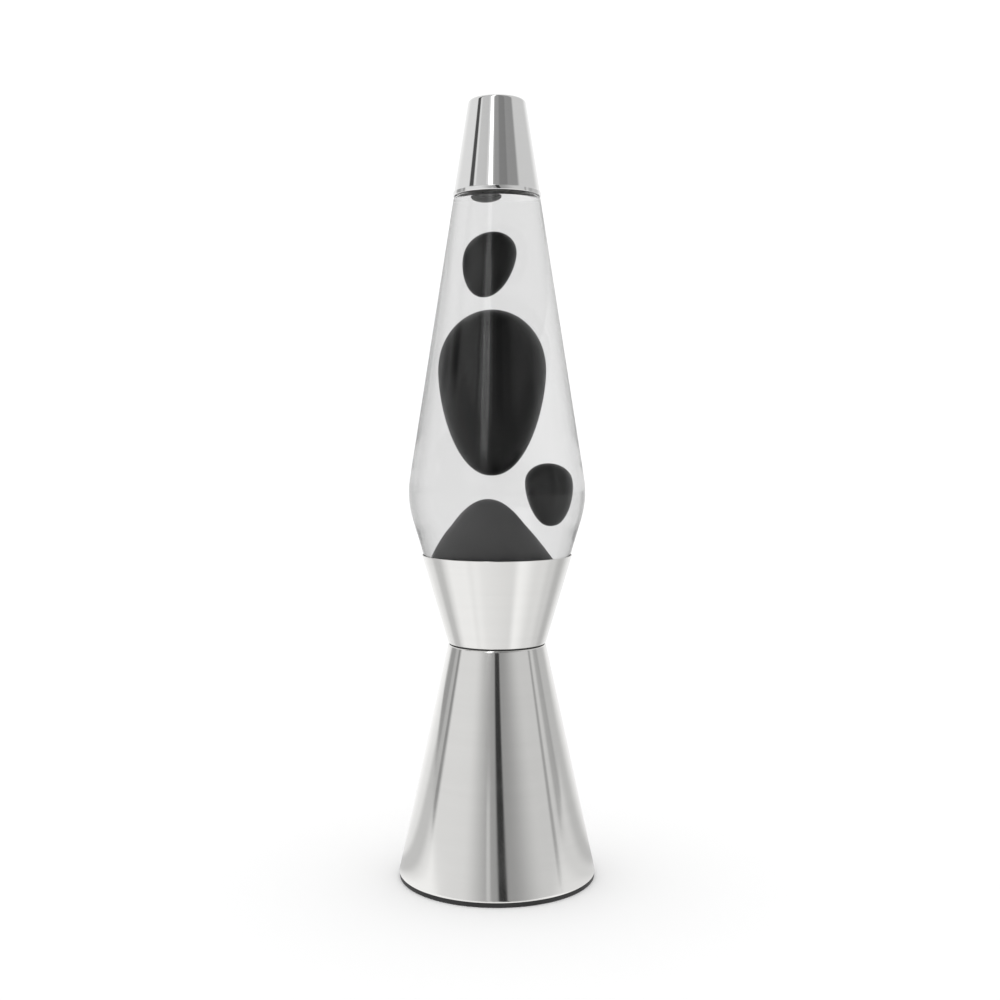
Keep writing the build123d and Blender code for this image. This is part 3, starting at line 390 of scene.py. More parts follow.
class Effects:
    """Shader node groups that several finishes share. Each puts out values that vary over the surface."""

    def __init__(self) -> None:
        """Builds the groups."""
        self.turning_marks = self._turning_marks()
        self.handling = self._handling()
        self.grain = self._grain()

    def _turning_marks(self) -> bpy.types.NodeTree:
        """Fine rings left by a spinning tool: noise on height plus radius, so that every ring about the
        axis is one line, with a slow change round the piece."""
        inputs = {"Place": ("Vector", None), "Pitch": ("Float", 3000.0), "Drift": ("Float", 12.0)}
        sheet = new_group("turning_marks", inputs, ["Height", "Tone"])
        given = sheet.tree.nodes.new("NodeGroupInput").outputs
        apart = sheet.add("SeparateXYZ", Vector=given["Place"]).outputs
        square = sheet.math("ADD", sheet.math("POWER", apart["X"], 2.0), sheet.math("POWER", apart["Y"], 2.0))
        ring = sheet.math("ADD", apart["Z"], sheet.math("SQRT", square))
        drift_x = sheet.math("MULTIPLY", apart["X"], given["Drift"])
        drift_y = sheet.math("MULTIPLY", apart["Y"], given["Drift"])
        results = []
        for share in (1.0, 0.14):
            line = sheet.math("MULTIPLY", sheet.math("MULTIPLY", ring, given["Pitch"]), share)
            where = sheet.add("CombineXYZ", X=drift_x, Y=drift_y, Z=line).outputs[0]
            noise = sheet.add("TexNoise", Vector=where, Scale=1.0, Detail=2.0, Roughness=0.6)
            results.append(noise.outputs["Fac"])
        shares = [sheet.math("MULTIPLY", noise, share) for noise, share in zip(results, (0.7, 0.3))]
        height = sheet.math("ADD", *shares)
        return sheet.give(Height=height, Tone=results[1])

    def _handling(self) -> bpy.types.NodeTree:
        """Faint soft patches where a surface has been touched and wiped, from 0, clean, to 1."""
        inputs = {"Place": ("Vector", None), "Scale": ("Float", 30.0)}
        sheet = new_group("handling", inputs, ["Mask"])
        given = sheet.tree.nodes.new("NodeGroupInput").outputs
        patches = sheet.add(
            "TexNoise", Vector=given["Place"], Scale=given["Scale"], Detail=4.0, Distortion=0.6
        )
        mask = sheet.ramp(patches.outputs["Fac"], 0.45, 0.75)
        return sheet.give(Mask=mask)

    def _grain(self) -> bpy.types.NodeTree:
        """Even grain of a moulded, cast or sawn skin: a fine noise with a coarser one under it."""
        inputs = {"Place": ("Vector", None), "Scale": ("Float", 1500.0), "Detail": ("Float", 3.0)}
        sheet = new_group("grain", inputs, ["Height", "Tone"])
        given = sheet.tree.nodes.new("NodeGroupInput").outputs
        fine = sheet.add(
            "TexNoise", Vector=given["Place"], Scale=given["Scale"], Detail=given["Detail"], Roughness=0.65
        )
        coarse_scale = sheet.math("MULTIPLY", given["Scale"], 0.12)
        coarse = sheet.add("TexNoise", Vector=given["Place"], Scale=coarse_scale, Detail=2.0)
        return sheet.give(Height=fine.outputs["Fac"], Tone=coarse.outputs["Fac"])


EFFECTS = Effects()


class Finish:
    """Base of the finishes: starts a material with a Principled shader and Object coordinates."""

    name: str

    def start(
        self, **sockets: object
    ) -> tuple[bpy.types.Material, Sheet, bpy.types.Node, bpy.types.NodeSocket]:
        """Starts the material.

        Args:
            **sockets: Principled inputs by name, with _ for a space.

        Returns:
            The material, its sheet, the Principled node and the Object coordinates.
        """
        material = bpy.data.materials.new(self.name)
        material.use_nodes = True
        sheet = Sheet(material.node_tree)
        shader = sheet.add("BsdfPrincipled", **sockets)
        sheet.end("Material", shader)
        coordinates = sheet.tree.nodes.new("ShaderNodeTexCoord").outputs["Object"]
        return material, sheet, shader, coordinates

    def shade(
        self,
        sheet: Sheet,
        shader: bpy.types.Node,
        tone: bpy.types.NodeSocket,
        dark: Sequence[float],
        light: Sequence[float],
    ) -> None:
        """Lets the base colour run from dark to light with a tone of 0 to 1."""
        mix = sheet.add("Mix", {"data_type": "RGBA"})
        colours = [socket for socket in mix.inputs if socket.type == "RGBA"]
        result = next(socket for socket in mix.outputs if socket.type == "RGBA")
        for socket, value in zip((mix.inputs[0], *colours), (tone, (*dark, 1), (*light, 1))):
            sheet.set(socket, value)
        sheet.set(shader.inputs["Base Color"], result)

    def bump(
        self,
        sheet: Sheet,
        shader: bpy.types.Node,
        height: bpy.types.NodeSocket,
        depth: float,
        strength: float,
    ) -> None:
        """Lets a height from 0 to 1 raise the surface by depth."""
        node = sheet.add("Bump", Height=height, Distance=depth, Strength=strength)
        sheet.set(shader.inputs["Normal"], node.outputs[0])


@dataclass(frozen=True)
class TurnedMetal(Finish):
    """Spun and polished sheet metal. Its rings run round the axis, so highlights are drawn out upright.

    A skin faces the axis where its normal . (x, y, 0) is below 0. It is left as spun.

    Attributes:
        oxide: the share of the metal that a pale film hides on a skin that faces the axis.
        dullness: what such a skin adds to the roughness.
    """

    name: str
    dark: tuple[float, float, float]
    light: tuple[float, float, float]
    roughness: float
    anisotropy: float
    mark_depth: float
    pitch: float = 2600.0
    oxide: float = 0.9
    dullness: float = 0.45

    def material(self) -> bpy.types.Material:
        """Builds the material."""
        drawn = {"Anisotropic": self.anisotropy, "Anisotropic_Rotation": 0.25}
        made, sheet, shader, where = self.start(Metallic=1.0, **drawn)
        marks = sheet.group(EFFECTS.turning_marks, Place=where, Pitch=self.pitch)
        touched = sheet.group(EFFECTS.handling, Place=where)
        normal = sheet.tree.nodes.new("ShaderNodeNewGeometry").outputs["Normal"]
        from_axis = sheet.vector("MULTIPLY", where, (1, 1, 0)).outputs[0]
        facing = sheet.vector("DOT_PRODUCT", from_axis, normal).outputs["Value"]
        inside = sheet.math("LESS_THAN", facing, 0.0)
        sheet.set(shader.inputs["Metallic"], sheet.math("MULTIPLY_ADD", inside, -self.oxide, 1.0))
        tangent = sheet.add("Tangent", {"direction_type": "RADIAL", "axis": "Z"})
        sheet.set(shader.inputs["Tangent"], tangent.outputs[0])
        self.shade(sheet, shader, marks.outputs["Tone"], self.dark, self.light)
        dull = sheet.math("MULTIPLY_ADD", inside, self.dullness, self.roughness)
        rough = sheet.math("MULTIPLY_ADD", touched.outputs["Mask"], 0.04, dull)
        sheet.set(shader.inputs["Roughness"], rough)
        self.bump(sheet, shader, marks.outputs["Height"], self.mark_depth, 0.5)
        return made


@dataclass(frozen=True)
class Moulded(Finish):
    """Rubber, plastic, wax or ceramic with a fine even grain, smoother where it has been touched."""

    name: str
    dark: tuple[float, float, float]
    light: tuple[float, float, float]
    roughness: float
    grain: float = 1400.0
    depth: float = 0.04 * MM
    specular: float = 0.5
    detail: float = 3.0
    strength: float = 0.5
    metallic: float = 0.0
    patches: float = 60.0
    patch_roughness: float = -0.08

    def material(self) -> bpy.types.Material:
        """Builds the material."""
        made, sheet, shader, where = self.start(Metallic=self.metallic, Specular_IOR_Level=self.specular)
        grain = sheet.group(EFFECTS.grain, Place=where, Scale=self.grain, Detail=self.detail)
        touched = sheet.group(EFFECTS.handling, Place=where, Scale=self.patches)
        self.shade(sheet, shader, grain.outputs["Tone"], self.dark, self.light)
        rough = sheet.math("MULTIPLY_ADD", touched.outputs["Mask"], self.patch_roughness, self.roughness)
        sheet.set(shader.inputs["Roughness"], rough)
        self.bump(sheet, shader, grain.outputs["Height"], self.depth, self.strength)
        return made


@dataclass(frozen=True)
class PlainMetal(Moulded):
    """Pressed, plated or drawn metal with a fine grain and worn patches, which are rougher."""

    grain: float = 900.0
    depth: float = 0.02 * MM
    strength: float = 0.3
    metallic: float = 1.0
    patches: float = 120.0
    patch_roughness: float = 0.15


@dataclass(frozen=True)
class Clear(Finish):
    """Clear glass or liquid, with faint soft waves in a blown surface.

    Attributes:
        tint: what is left of the light after each pass through a skin.
        index: the refractive index.
        mirror: the share of the skin's square-on reflection that is kept. A wetted wall reflects little.
        wave_depth: the height of the waves.
    """

    name: str
    tint: tuple[float, float, float]
    index: float
    mirror: float
    wave_depth: float = 0.0

    def material(self) -> bpy.types.Material:
        """Builds the material."""
        made, sheet, shader, where = self.start(IOR=self.index, Transmission_Weight=1.0)
        shader.inputs["Base Color"].default_value = (*self.tint, 1)
        shader.inputs["Specular Tint"].default_value = (self.mirror, self.mirror, self.mirror, 1)
        touched = sheet.group(EFFECTS.handling, Place=where, Scale=40.0)
        rough = sheet.math("MULTIPLY", touched.outputs["Mask"], 0.012)
        sheet.set(shader.inputs["Roughness"], rough)
        if self.wave_depth:
            waves = sheet.group(EFFECTS.grain, Place=where, Scale=60.0, Detail=0.0)
            self.bump(sheet, shader, waves.outputs["Height"], self.wave_depth, 0.3)
        return made


# ------------------------------------------------------------------------------ finishes of this lamp

SPUN_BASE = TurnedMetal("spun_base_metal", (0.83, 0.825, 0.81), (0.87, 0.865, 0.85), 0.075, 0.6, 0.004 * MM)
SPUN_CUP = TurnedMetal("spun_cup_metal", (0.80, 0.795, 0.78), (0.84, 0.835, 0.82), 0.12, 0.6, 0.006 * MM)
POLISHED_CAP = TurnedMetal(
    "polished_cap_metal", (0.86, 0.86, 0.855), (0.89, 0.89, 0.885), 0.06, 0.6, 0.002 * MM
)
GLOBE_GLASS = Clear("globe_clear_glass", (0.99, 0.99, 0.99), 1.50, 0.40, 0.06 * MM)
LIQUID = Clear("clear_lamp_liquid", (0.81, 0.81, 0.81), 1.345, 0.05)
BULB_GLASS = Clear("bulb_thin_glass", (0.99, 0.99, 0.99), 1.50, 1.0)
SOFT = {"grain": 110.0, "depth": 0.03 * MM, "detail": 0.0}
BLACK_WAX = Moulded("black_wax", (0.005, 0.005, 0.0052), (0.009, 0.009, 0.0093), 0.42, specular=0.2, **SOFT)
# Painted light: the pool is the same black wax as the blobs, painted lighter to stand in for the light on its
# top.
PAINTED_LIGHT_POOL_WAX = Moulded(
    "black_wax_pool_painted_light", (0.145, 0.145, 0.147), (0.170, 0.170, 0.172), 0.5, specular=0.25, **SOFT
)
# Painted light: the lens at the liquid's surface is the same black wax, painted pale grey to stand in for the
# light on it.
PAINTED_LIGHT_LENS_WAX = Moulded("black_wax_lens_painted_light", (0.30, 0.30, 0.30), (0.38, 0.38, 0.38), 0.45, specular=0.25, **SOFT)
FOOT_RUBBER = Moulded("foot_rubber", (0.012, 0.012, 0.012), (0.022, 0.022, 0.022), 0.62)
COVER_PLASTIC = Moulded("cover_plastic", (0.020, 0.020, 0.021), (0.032, 0.032, 0.034), 0.5, 1800.0, 0.08 * MM)
CERAMIC = Moulded("lampholder_ceramic", (0.70, 0.68, 0.63), (0.78, 0.76, 0.71), 0.38)
NYLON = Moulded("block_nylon", (0.72, 0.70, 0.64), (0.80, 0.78, 0.72), 0.42)
LEAD_PVC = Moulded("lead_insulation", (0.70, 0.70, 0.67), (0.78, 0.78, 0.76), 0.35)
LINER = Moulded("crown_liner_foam", (0.55, 0.53, 0.46), (0.66, 0.64, 0.57), 0.7)
FUSED_GLASS = Moulded("bulb_fused_glass", (0.010, 0.010, 0.016), (0.02, 0.02, 0.03), 0.12)
ZINC = PlainMetal("zinc_plate", (0.50, 0.50, 0.50), (0.62, 0.62, 0.61), 0.32)
BRASS = PlainMetal("stamped_brass", (0.66, 0.48, 0.22), (0.78, 0.60, 0.32), 0.28)
TINPLATE = PlainMetal("crown_tinplate", (0.66, 0.66, 0.66), (0.76, 0.76, 0.75), 0.22)
SOLDER = PlainMetal("tip_solder", (0.50, 0.50, 0.52), (0.62, 0.62, 0.63), 0.35)
COIL_STEEL = PlainMetal("coil_wire", (0.42, 0.42, 0.42), (0.55, 0.55, 0.54), 0.3)
TUNGSTEN = PlainMetal("filament_wire", (0.20, 0.19, 0.18), (0.30, 0.29, 0.28), 0.45)


# ------------------------------------------------------------------------------ sub-assemblies


@dataclass
class BaseShells:
    """The two spun cones, the black gasket between them, which paints the shadow of their seam as a dark
    line, and the ferrule that joins them.
    """

    cone_wall: float = 0.8 * MM
    cup_wall: float = 0.6 * MM
    edge_roll: float = 0.7 * MM
    flange_inner: float = 37.3 * MM
    flange_width: float = 4.05 * MM
    inner_corner: float = 0.2 * MM
    base: float = 47.0 * MM
    gasket_lip: float = 0.5 * MM
    rim_roll: float = 0.07 * MM
    gland_hole: float = 4.65 * MM
    gland_axis: tuple[float, float, float] = (0.0, 0.977289, 0.21191)
    gland_middle: tuple[float, float, float] = (0.0, 43.998 * MM, 14 * MM)
    gland_reach: float = 6 * MM

    def cone(self) -> bpy.types.Object:
        """Lower cone: a closed shell, turned in at the waist and at the foot."""
        low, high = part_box("base_cone")
        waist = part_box("waist_gasket")[1].x + self.gasket_lip
        inner_hole = waist - self.flange_width
        slope = (self.base - waist) / (high.z - low.z)
        wall = self.cone_wall
        outline = rounded_outline(
            [
                (self.flange_inner, low.z),
                (self.base, low.z),
                (waist, high.z),
                (inner_hole, high.z),
                (inner_hole, high.z - wall),
                (waist + slope * wall - wall, high.z - wall),
                (self.base - slope * wall - wall, low.z + wall),
                (self.flange_inner, low.z + wall),
            ],
            [0, self.edge_roll, self.edge_roll, 0, 0, self.inner_corner, self.inner_corner, 0],
        )
        shell = turned("base_cone_spun", held_outline(outline))
        self.bore(shell)
        return shell

    def bore(self, shell: bpy.types.Object) -> None:
        """Cuts the cord gland's hole square through the shell's rear wall."""
        reach = np.array([[-self.gland_reach], [self.gland_reach]])
        path = np.array(self.gland_middle) + reach * np.array(self.gland_axis)
        cutter = skin("gland_cutter", [tube_grid(path, self.gland_hole, 48)], False)
        cut = shell.modifiers.new("gland_hole", "BOOLEAN")
        cut.operation, cut.solver, cut.object = "DIFFERENCE", "EXACT", cutter
        bpy.context.view_layer.update()
        evaluated = shell.evaluated_get(bpy.context.evaluated_depsgraph_get())
        opened = bpy.data.meshes.new_from_object(evaluated)
        shell.modifiers.clear()
        shell.data = opened
        bpy.data.objects.remove(cutter)

    def cup(self) -> bpy.types.Object:
        """Upper cone: an open cup with a rounded rim."""
        low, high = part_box("base_cup")
        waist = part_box("waist_gasket")[1].x + self.gasket_lip
        inner_hole = waist - self.flange_width
        rim = high.x + self.rim_roll
        slope = (rim - waist) / (high.z - low.z)
        wall = self.cup_wall
        outline = rounded_outline(
            [
                (inner_hole, low.z),
                (waist, low.z),
                (rim, high.z),
                (rim - wall, high.z),
                (waist + slope * wall - wall, low.z + wall),
                (inner_hole, low.z + wall),
            ],
            [0, wall, wall / 3, wall / 3, self.inner_corner, 0],
        )
        return turned("base_cup_spun", held_outline(outline))

    def build(self) -> None:
        """Builds and dresses the shells."""
        place(self.cone(), "base", "spun_metal", SPUN_BASE.material(), "base_cone")
        place(self.cup(), "base", "spun_metal", SPUN_CUP.material(), "base_cup")
        # Painted shade: the waist gasket is dressed in black rubber, so that the shadow of the seam between
        # the shells shows as a dark line.
        dress("waist_gasket", FOOT_RUBBER.material())
        dress("waist_ferrule", ZINC.material())


@dataclass
class TopCap:
    """The loose metal cap over the globe's neck."""

    wall: float = 0.6 * MM
    bead_height: float = 2.0 * MM
    bead_lip: float = 0.2 * MM
    top_round: float = 1.8 * MM
    top_radius: float = 13.4 * MM

    def shell(self) -> bpy.types.Object:
        """Closed cone with a rounded top edge, a bead round its mouth and an inner wall."""
        low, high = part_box("top_cap")
        mouth = high.x - self.bead_lip
        slope = (mouth - self.top_radius) / (high.z - low.z)
        bead = low.z + self.bead_height
        wall = self.wall
        outline = rounded_outline(
            [
                (mouth - wall, low.z),
                (mouth + self.bead_lip, low.z),
                (mouth + self.bead_lip, bead),
                (mouth - slope * self.bead_height, bead + self.bead_lip),
                (self.top_radius, high.z),
                (0, high.z),
                (0, high.z - wall),
                (self.top_radius + slope * wall - wall, high.z - wall),
            ],
            [0.2 * MM, 0.4 * MM, 0.3 * MM, 0, self.top_round, 0, 0, self.top_round - wall],
        )
        return turned("top_cap_spun", held_outline(outline))

    def build(self) -> None:
        """Builds and dresses the cap."""
        place(self.shell(), "cap", "polished_metal", POLISHED_CAP.material(), "top_cap")


@dataclass
class Globe:
    """The glass vessel, the liquid in it and the crown cap that seals it."""

    glass_wall: float = 2.4 * MM
    glass_floor: float = 4.5 * MM
    seat_slope: float = 0.2976
    belly_corner: float = 43.0 * MM
    belly_blend: float = 45.0 * MM
    belly_rise: float = 53.7 * MM
    seat_blend: float = 60.0 * MM
    rim_level: float = 27.0 * MM
    rim_radius: float = 35.0 * MM
    shoulder: float = 20.6 * MM
    shoulder_rise: float = 195.2 * MM
    neck: float = 12.7 * MM
    neck_rise: float = 204.0 * MM
    bead: float = 13.2 * MM
    bead_rise: float = 209.5 * MM
    bore: float = 8.3 * MM
    liquid_lap: float = 0.06 * MM
    flutes: int = 21

    def wall(self, inset: float, floor: float) -> tuple[list[tuple[float, float]], list[float]]:
        """Corners and roundings of the vessel's side from its foot to its shoulder, moved in by inset."""
        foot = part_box("globe_glass")[0].z
        heel = self.rim_radius - self.seat_slope * self.rim_level
        step = inset / math.cos(math.atan(self.seat_slope))
        corners = [
            (heel - step + self.seat_slope * floor, foot + floor),
            (self.rim_radius - step, foot + self.rim_level),
            (self.belly_corner - inset, foot + self.belly_rise),
            (self.shoulder - inset, foot + self.shoulder_rise),
        ]
        return corners, [4 * MM - min(inset, 1 * MM), self.seat_blend, self.belly_blend - inset]

    def glass(self) -> bpy.types.Object:
        """The vessel: heel, seat, belly, long taper, shoulder and neck, with its inner wall."""
        foot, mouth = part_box("globe_glass")[0].z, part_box("globe_glass")[1].z
        outer, outer_round = self.wall(0, 0)
        inner, inner_round = self.wall(self.glass_wall, self.glass_floor)
        lip = 1.5 * MM
        corners = [
            (0, foot + 1.6 * MM),
            (14 * MM, foot + 0.8 * MM),
            (19 * MM, foot),
            *outer,
            (self.neck, foot + self.neck_rise),
            (self.neck, foot + self.bead_rise),
            (self.bead, foot + self.bead_rise + self.bead - self.neck),
            (self.bead, mouth),
            (self.bore, mouth),
            (self.bore, foot + self.neck_rise),
            *reversed(inner),
            (0, foot + self.glass_floor),
        ]
        rounds = [0, 20 * MM, 3 * MM, *outer_round, 2 * MM, 4 * MM, 0, lip / 2, lip, lip / 2, 4 * MM, 4 * MM]
        outline = rounded_outline(corners, [*rounds, *reversed(inner_round), 0], fineness=16)
        return turned("globe_glass_blown", held_outline(outline, longest=4 * MM))

    def liquid(self) -> bpy.types.Object:
        """The liquid: it laps into the glass by a hair, so that no air shows between them."""
        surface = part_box("globe_liquid")[1].z
        inner, inner_round = self.wall(self.glass_wall - self.liquid_lap, self.glass_floor - self.liquid_lap)
        taper = (inner[2][0] - inner[3][0]) / (inner[3][1] - inner[2][1])
        edge = inner[3][0] + taper * (inner[3][1] - surface)
        corners = [(0, inner[0][1]), *inner[:3], (edge, surface), (0, surface)]
        outline = rounded_outline(corners, [0, *inner_round, 0, 0], fineness=16)
        return turned("globe_liquid_fill", held_outline(outline, longest=4 * MM))

    def crown(self) -> bpy.types.Object:
        """Crown cap: a pressed cup whose skirt is waved by cos(flutes x angle), more towards its edge.

        The section is a closed outline of the outer skin out and down, then the inner skin back. Each
        point's radius is multiplied by 1 + depth x wave, where depth grows with the drop below the hip.
        """
        low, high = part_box("crown_cap")
        sheet, top_radius, skirt = 0.3 * MM, 13.9 * MM, high.x
        hip = high.z - 2.5 * MM
        outline = rounded_outline(
            [
                (0, high.z),
                (top_radius, high.z),
                (top_radius + sheet, hip),
                (skirt, low.z),
                (skirt - sheet, low.z),
                (top_radius, hip),
                (top_radius - sheet, high.z - sheet),
                (0, high.z - sheet),
            ],
            [0, 2 * MM, 0, 0.1 * MM, 0.1 * MM, 0, 1.7 * MM, 0],
            closed=False,
        )
        outline = held_outline(outline, hold=0.3 * MM, longest=0.8 * MM)
        steps = self.flutes * 16
        angle = whole_turn(steps)
        drop = np.clip((hip - outline[:, 1]) / (hip - low.z), 0, 1)[:, None]
        wave = 0.5 * np.cos(self.flutes * angle)[None] - 0.5
        radius = outline[:, 0, None] + 1.5 * MM * drop**0.7 * wave
        return skin("crown_cap_fluted", [ring_grid(radius, outline[:, 1], angle)], True, 45)

    def build(self) -> None:
        """Builds and dresses the globe."""
        place(self.glass(), "globe", "clear_glass", GLOBE_GLASS.material(), "globe_glass")
        place(self.liquid(), "globe", "clear_liquid", LIQUID.material(), "globe_liquid")
        place(self.crown(), "globe", "tinplate", TINPLATE.material(), "crown_cap")
        dress("crown_liner", LINER.material())


@dataclass
class WaxBlob:
    """One drifting blob: an egg whose section is (1 - t^p)^q on each side of its girth.

    Attributes:
        node: the node that it stands for, which gives its place and size.
        body: the body that it rides on.
        girth: height of the widest level, as a share of the blob's height from its foot.
        widths: radius across at the girth, along X and Y.
        upper: p and q above the girth.
        lower: p and q below it.
        lean: how far the axis moves along X from foot to top, about its middle.
        shift: how far the whole axis stands along X from the node's middle.
    """

    node: str
    body: str
    girth: float
    widths: tuple[float, float]
    upper: tuple[float, float]
    lower: tuple[float, float]
    lean: float = 0.0
    shift: float = 0.0

    def surface(self) -> bpy.types.Object:
        """Rings at heights that go as the cosine of a half turn, which crowds them at the poles."""
        low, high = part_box(self.node)
        middle = (low + high) / 2
        share = 0.5 - 0.5 * np.cos(np.linspace(0, math.pi, 97))
        above = np.clip((share - self.girth) / (1 - self.girth), 0, 1)
        below = np.clip((self.girth - share) / self.girth, 0, 1)
        width = (1 - above ** self.upper[0]) ** self.upper[1] * (1 - below ** self.lower[0]) ** self.lower[1]
        reach = (self.widths[0] * width[:, None], self.widths[1] * width[:, None])
        axis = middle.x + self.shift + self.lean * (share - 0.5)
        height = low.z + share * (high.z - low.z)
        angle = whole_turn(Roundness.MEDIUM.value)
        grid = ring_grid(reach, height, angle, (axis[:, None], middle.y))
        return skin(self.node + "_soft", [grid], False, 180)


@dataclass
class Wax:
    """All the wax in the globe, and the coil that lies in it."""

    pool_bulge: float = 17.8 * MM
    pool_lean: float = -3.2 * MM
    pool_edge: float = 28.2 * MM
    pool_floor: float = 24.9 * MM
    dome_depth: float = 34 * MM
    flare_drop: float = 4.5 * MM
    lens_lap: float = 0.15 * MM
    coil_turns: int = 44
    coil_wire: float = 0.35 * MM

    def pool(self) -> bpy.types.Object:
        """The pool: a dome whose radius is the root of bulge x depth below its top, flared out to the
        glass at its foot. The dome leans along X by a smooth share of its height."""
        low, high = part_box("wax_pool")
        depth = np.linspace(0, 1, 73) ** 2 * self.dome_depth
        dome = np.column_stack([np.sqrt(self.pool_bulge * depth), high.z - depth])
        start_r, start_z = dome[-1]
        flare_turn = np.linspace(0.05, 1, 16) * TURN / 4
        flare_r = start_r + (self.pool_edge - start_r) * (1 - np.cos(flare_turn))
        flare_z = start_z - self.flare_drop * np.sin(flare_turn)
        flare = np.column_stack([flare_r, flare_z])
        side = rounded_outline(
            [tuple(flare[-1]), (self.pool_floor, low.z), (0, low.z)], [0, 3.5 * MM, 0], closed=False
        )
        outline = np.vstack([dome, flare, side[1:]])
        rise = np.clip((outline[:, 1] - flare_z[-1]) / (high.z - flare_z[-1]), 0, 1) ** 0.5
        lean = self.pool_lean * rise * (3 - 2 * rise) * rise
        angle = whole_turn(Roundness.MEDIUM.value)
        grid = ring_grid(outline[:, 0, None], outline[:, 1], angle, (lean[:, None], 0.0))
        return skin("wax_pool_risen", [grid], False, 60)

    def lens(self) -> bpy.types.Object:
        """The wax at the liquid's surface: half of a flattened ball with a rounded edge."""
        low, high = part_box("wax_surface_lens")
        middle, reach = (low + high) / 2, (high - low) / 2
        turn = np.linspace(0, TURN / 4, 25)
        side = np.column_stack([np.sin(turn), -np.cos(turn) * 2 * reach.z + self.lens_lap])
        outline = np.vstack([side, [[0.985, 0.05 * MM], [0.9, 0.0], [0, 0]]])
        across = (reach.x * outline[:, 0, None], reach.y * outline[:, 0, None])
        height = high.z + np.minimum(outline[:, 1], 0)
        angle = whole_turn(Roundness.SMALL.value)
        return skin("wax_surface_cap", [ring_grid(across, height, angle, (middle.x, middle.y))], False, 60)

    def coil(self) -> bpy.types.Object:
        """The wire coil: a helix of coil_turns wound round a ring that lies on the globe's floor."""
        low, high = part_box("wax_coil")
        small = (high.z - low.z) / 2
        ring = (high.x - low.x) / 2 - small
        turn = whole_turn(self.coil_turns * 20)
        wound = small - self.coil_wire
        radius = ring + wound * np.cos(self.coil_turns * turn)
        height = (low.z + high.z) / 2 + wound * np.sin(self.coil_turns * turn)
        path = np.column_stack([radius * np.cos(turn), radius * np.sin(turn), height])
        return skin("wax_coil_wound", [tube_grid(path, self.coil_wire, 8, joined=True)], True)

    def blobs(self) -> list[WaxBlob]:
        """The drifting blobs, each with the shape that it has been caught in."""
        large = WaxBlob("wax_blob_large", "wax_large", 0.63, (19.1 * MM, 18.5 * MM), (2.1, 0.5), (1.7, 0.47))
        upper = WaxBlob("wax_blob_upper", "wax_upper", 0.60, (9.35 * MM, 9.1 * MM), (2.3, 0.5), (1.75, 0.47))
        side = WaxBlob("wax_blob_side", "wax_side", 0.60, (8.3 * MM, 8.8 * MM), (2.2, 0.5), (1.7, 0.5))
        return [
            replace(large, lean=0.2 * MM, shift=0.4 * MM),
            replace(upper, lean=3.4 * MM),
            replace(side, lean=-1.0 * MM, shift=-1.0 * MM),
        ]

    def build(self) -> None:
        """Builds and dresses the wax."""
        wax = BLACK_WAX.material()
        # Painted light: the pool gets a lighter copy of the black wax, standing in for the light on its top.
        place(self.pool(), "globe", "black_wax", PAINTED_LIGHT_POOL_WAX.material(), "wax_pool")
        # Painted light: the lens gets a pale grey copy of the black wax, standing in for the light on it.
        place(self.lens(), "globe", "black_wax", PAINTED_LIGHT_LENS_WAX.material(), "wax_surface_lens")
        place(self.coil(), "globe", "steel_coil", COIL_STEEL.material(), "wax_coil")
        for blob in self.blobs():
            place(blob.surface(), blob.body, "black_wax", wax, blob.node)


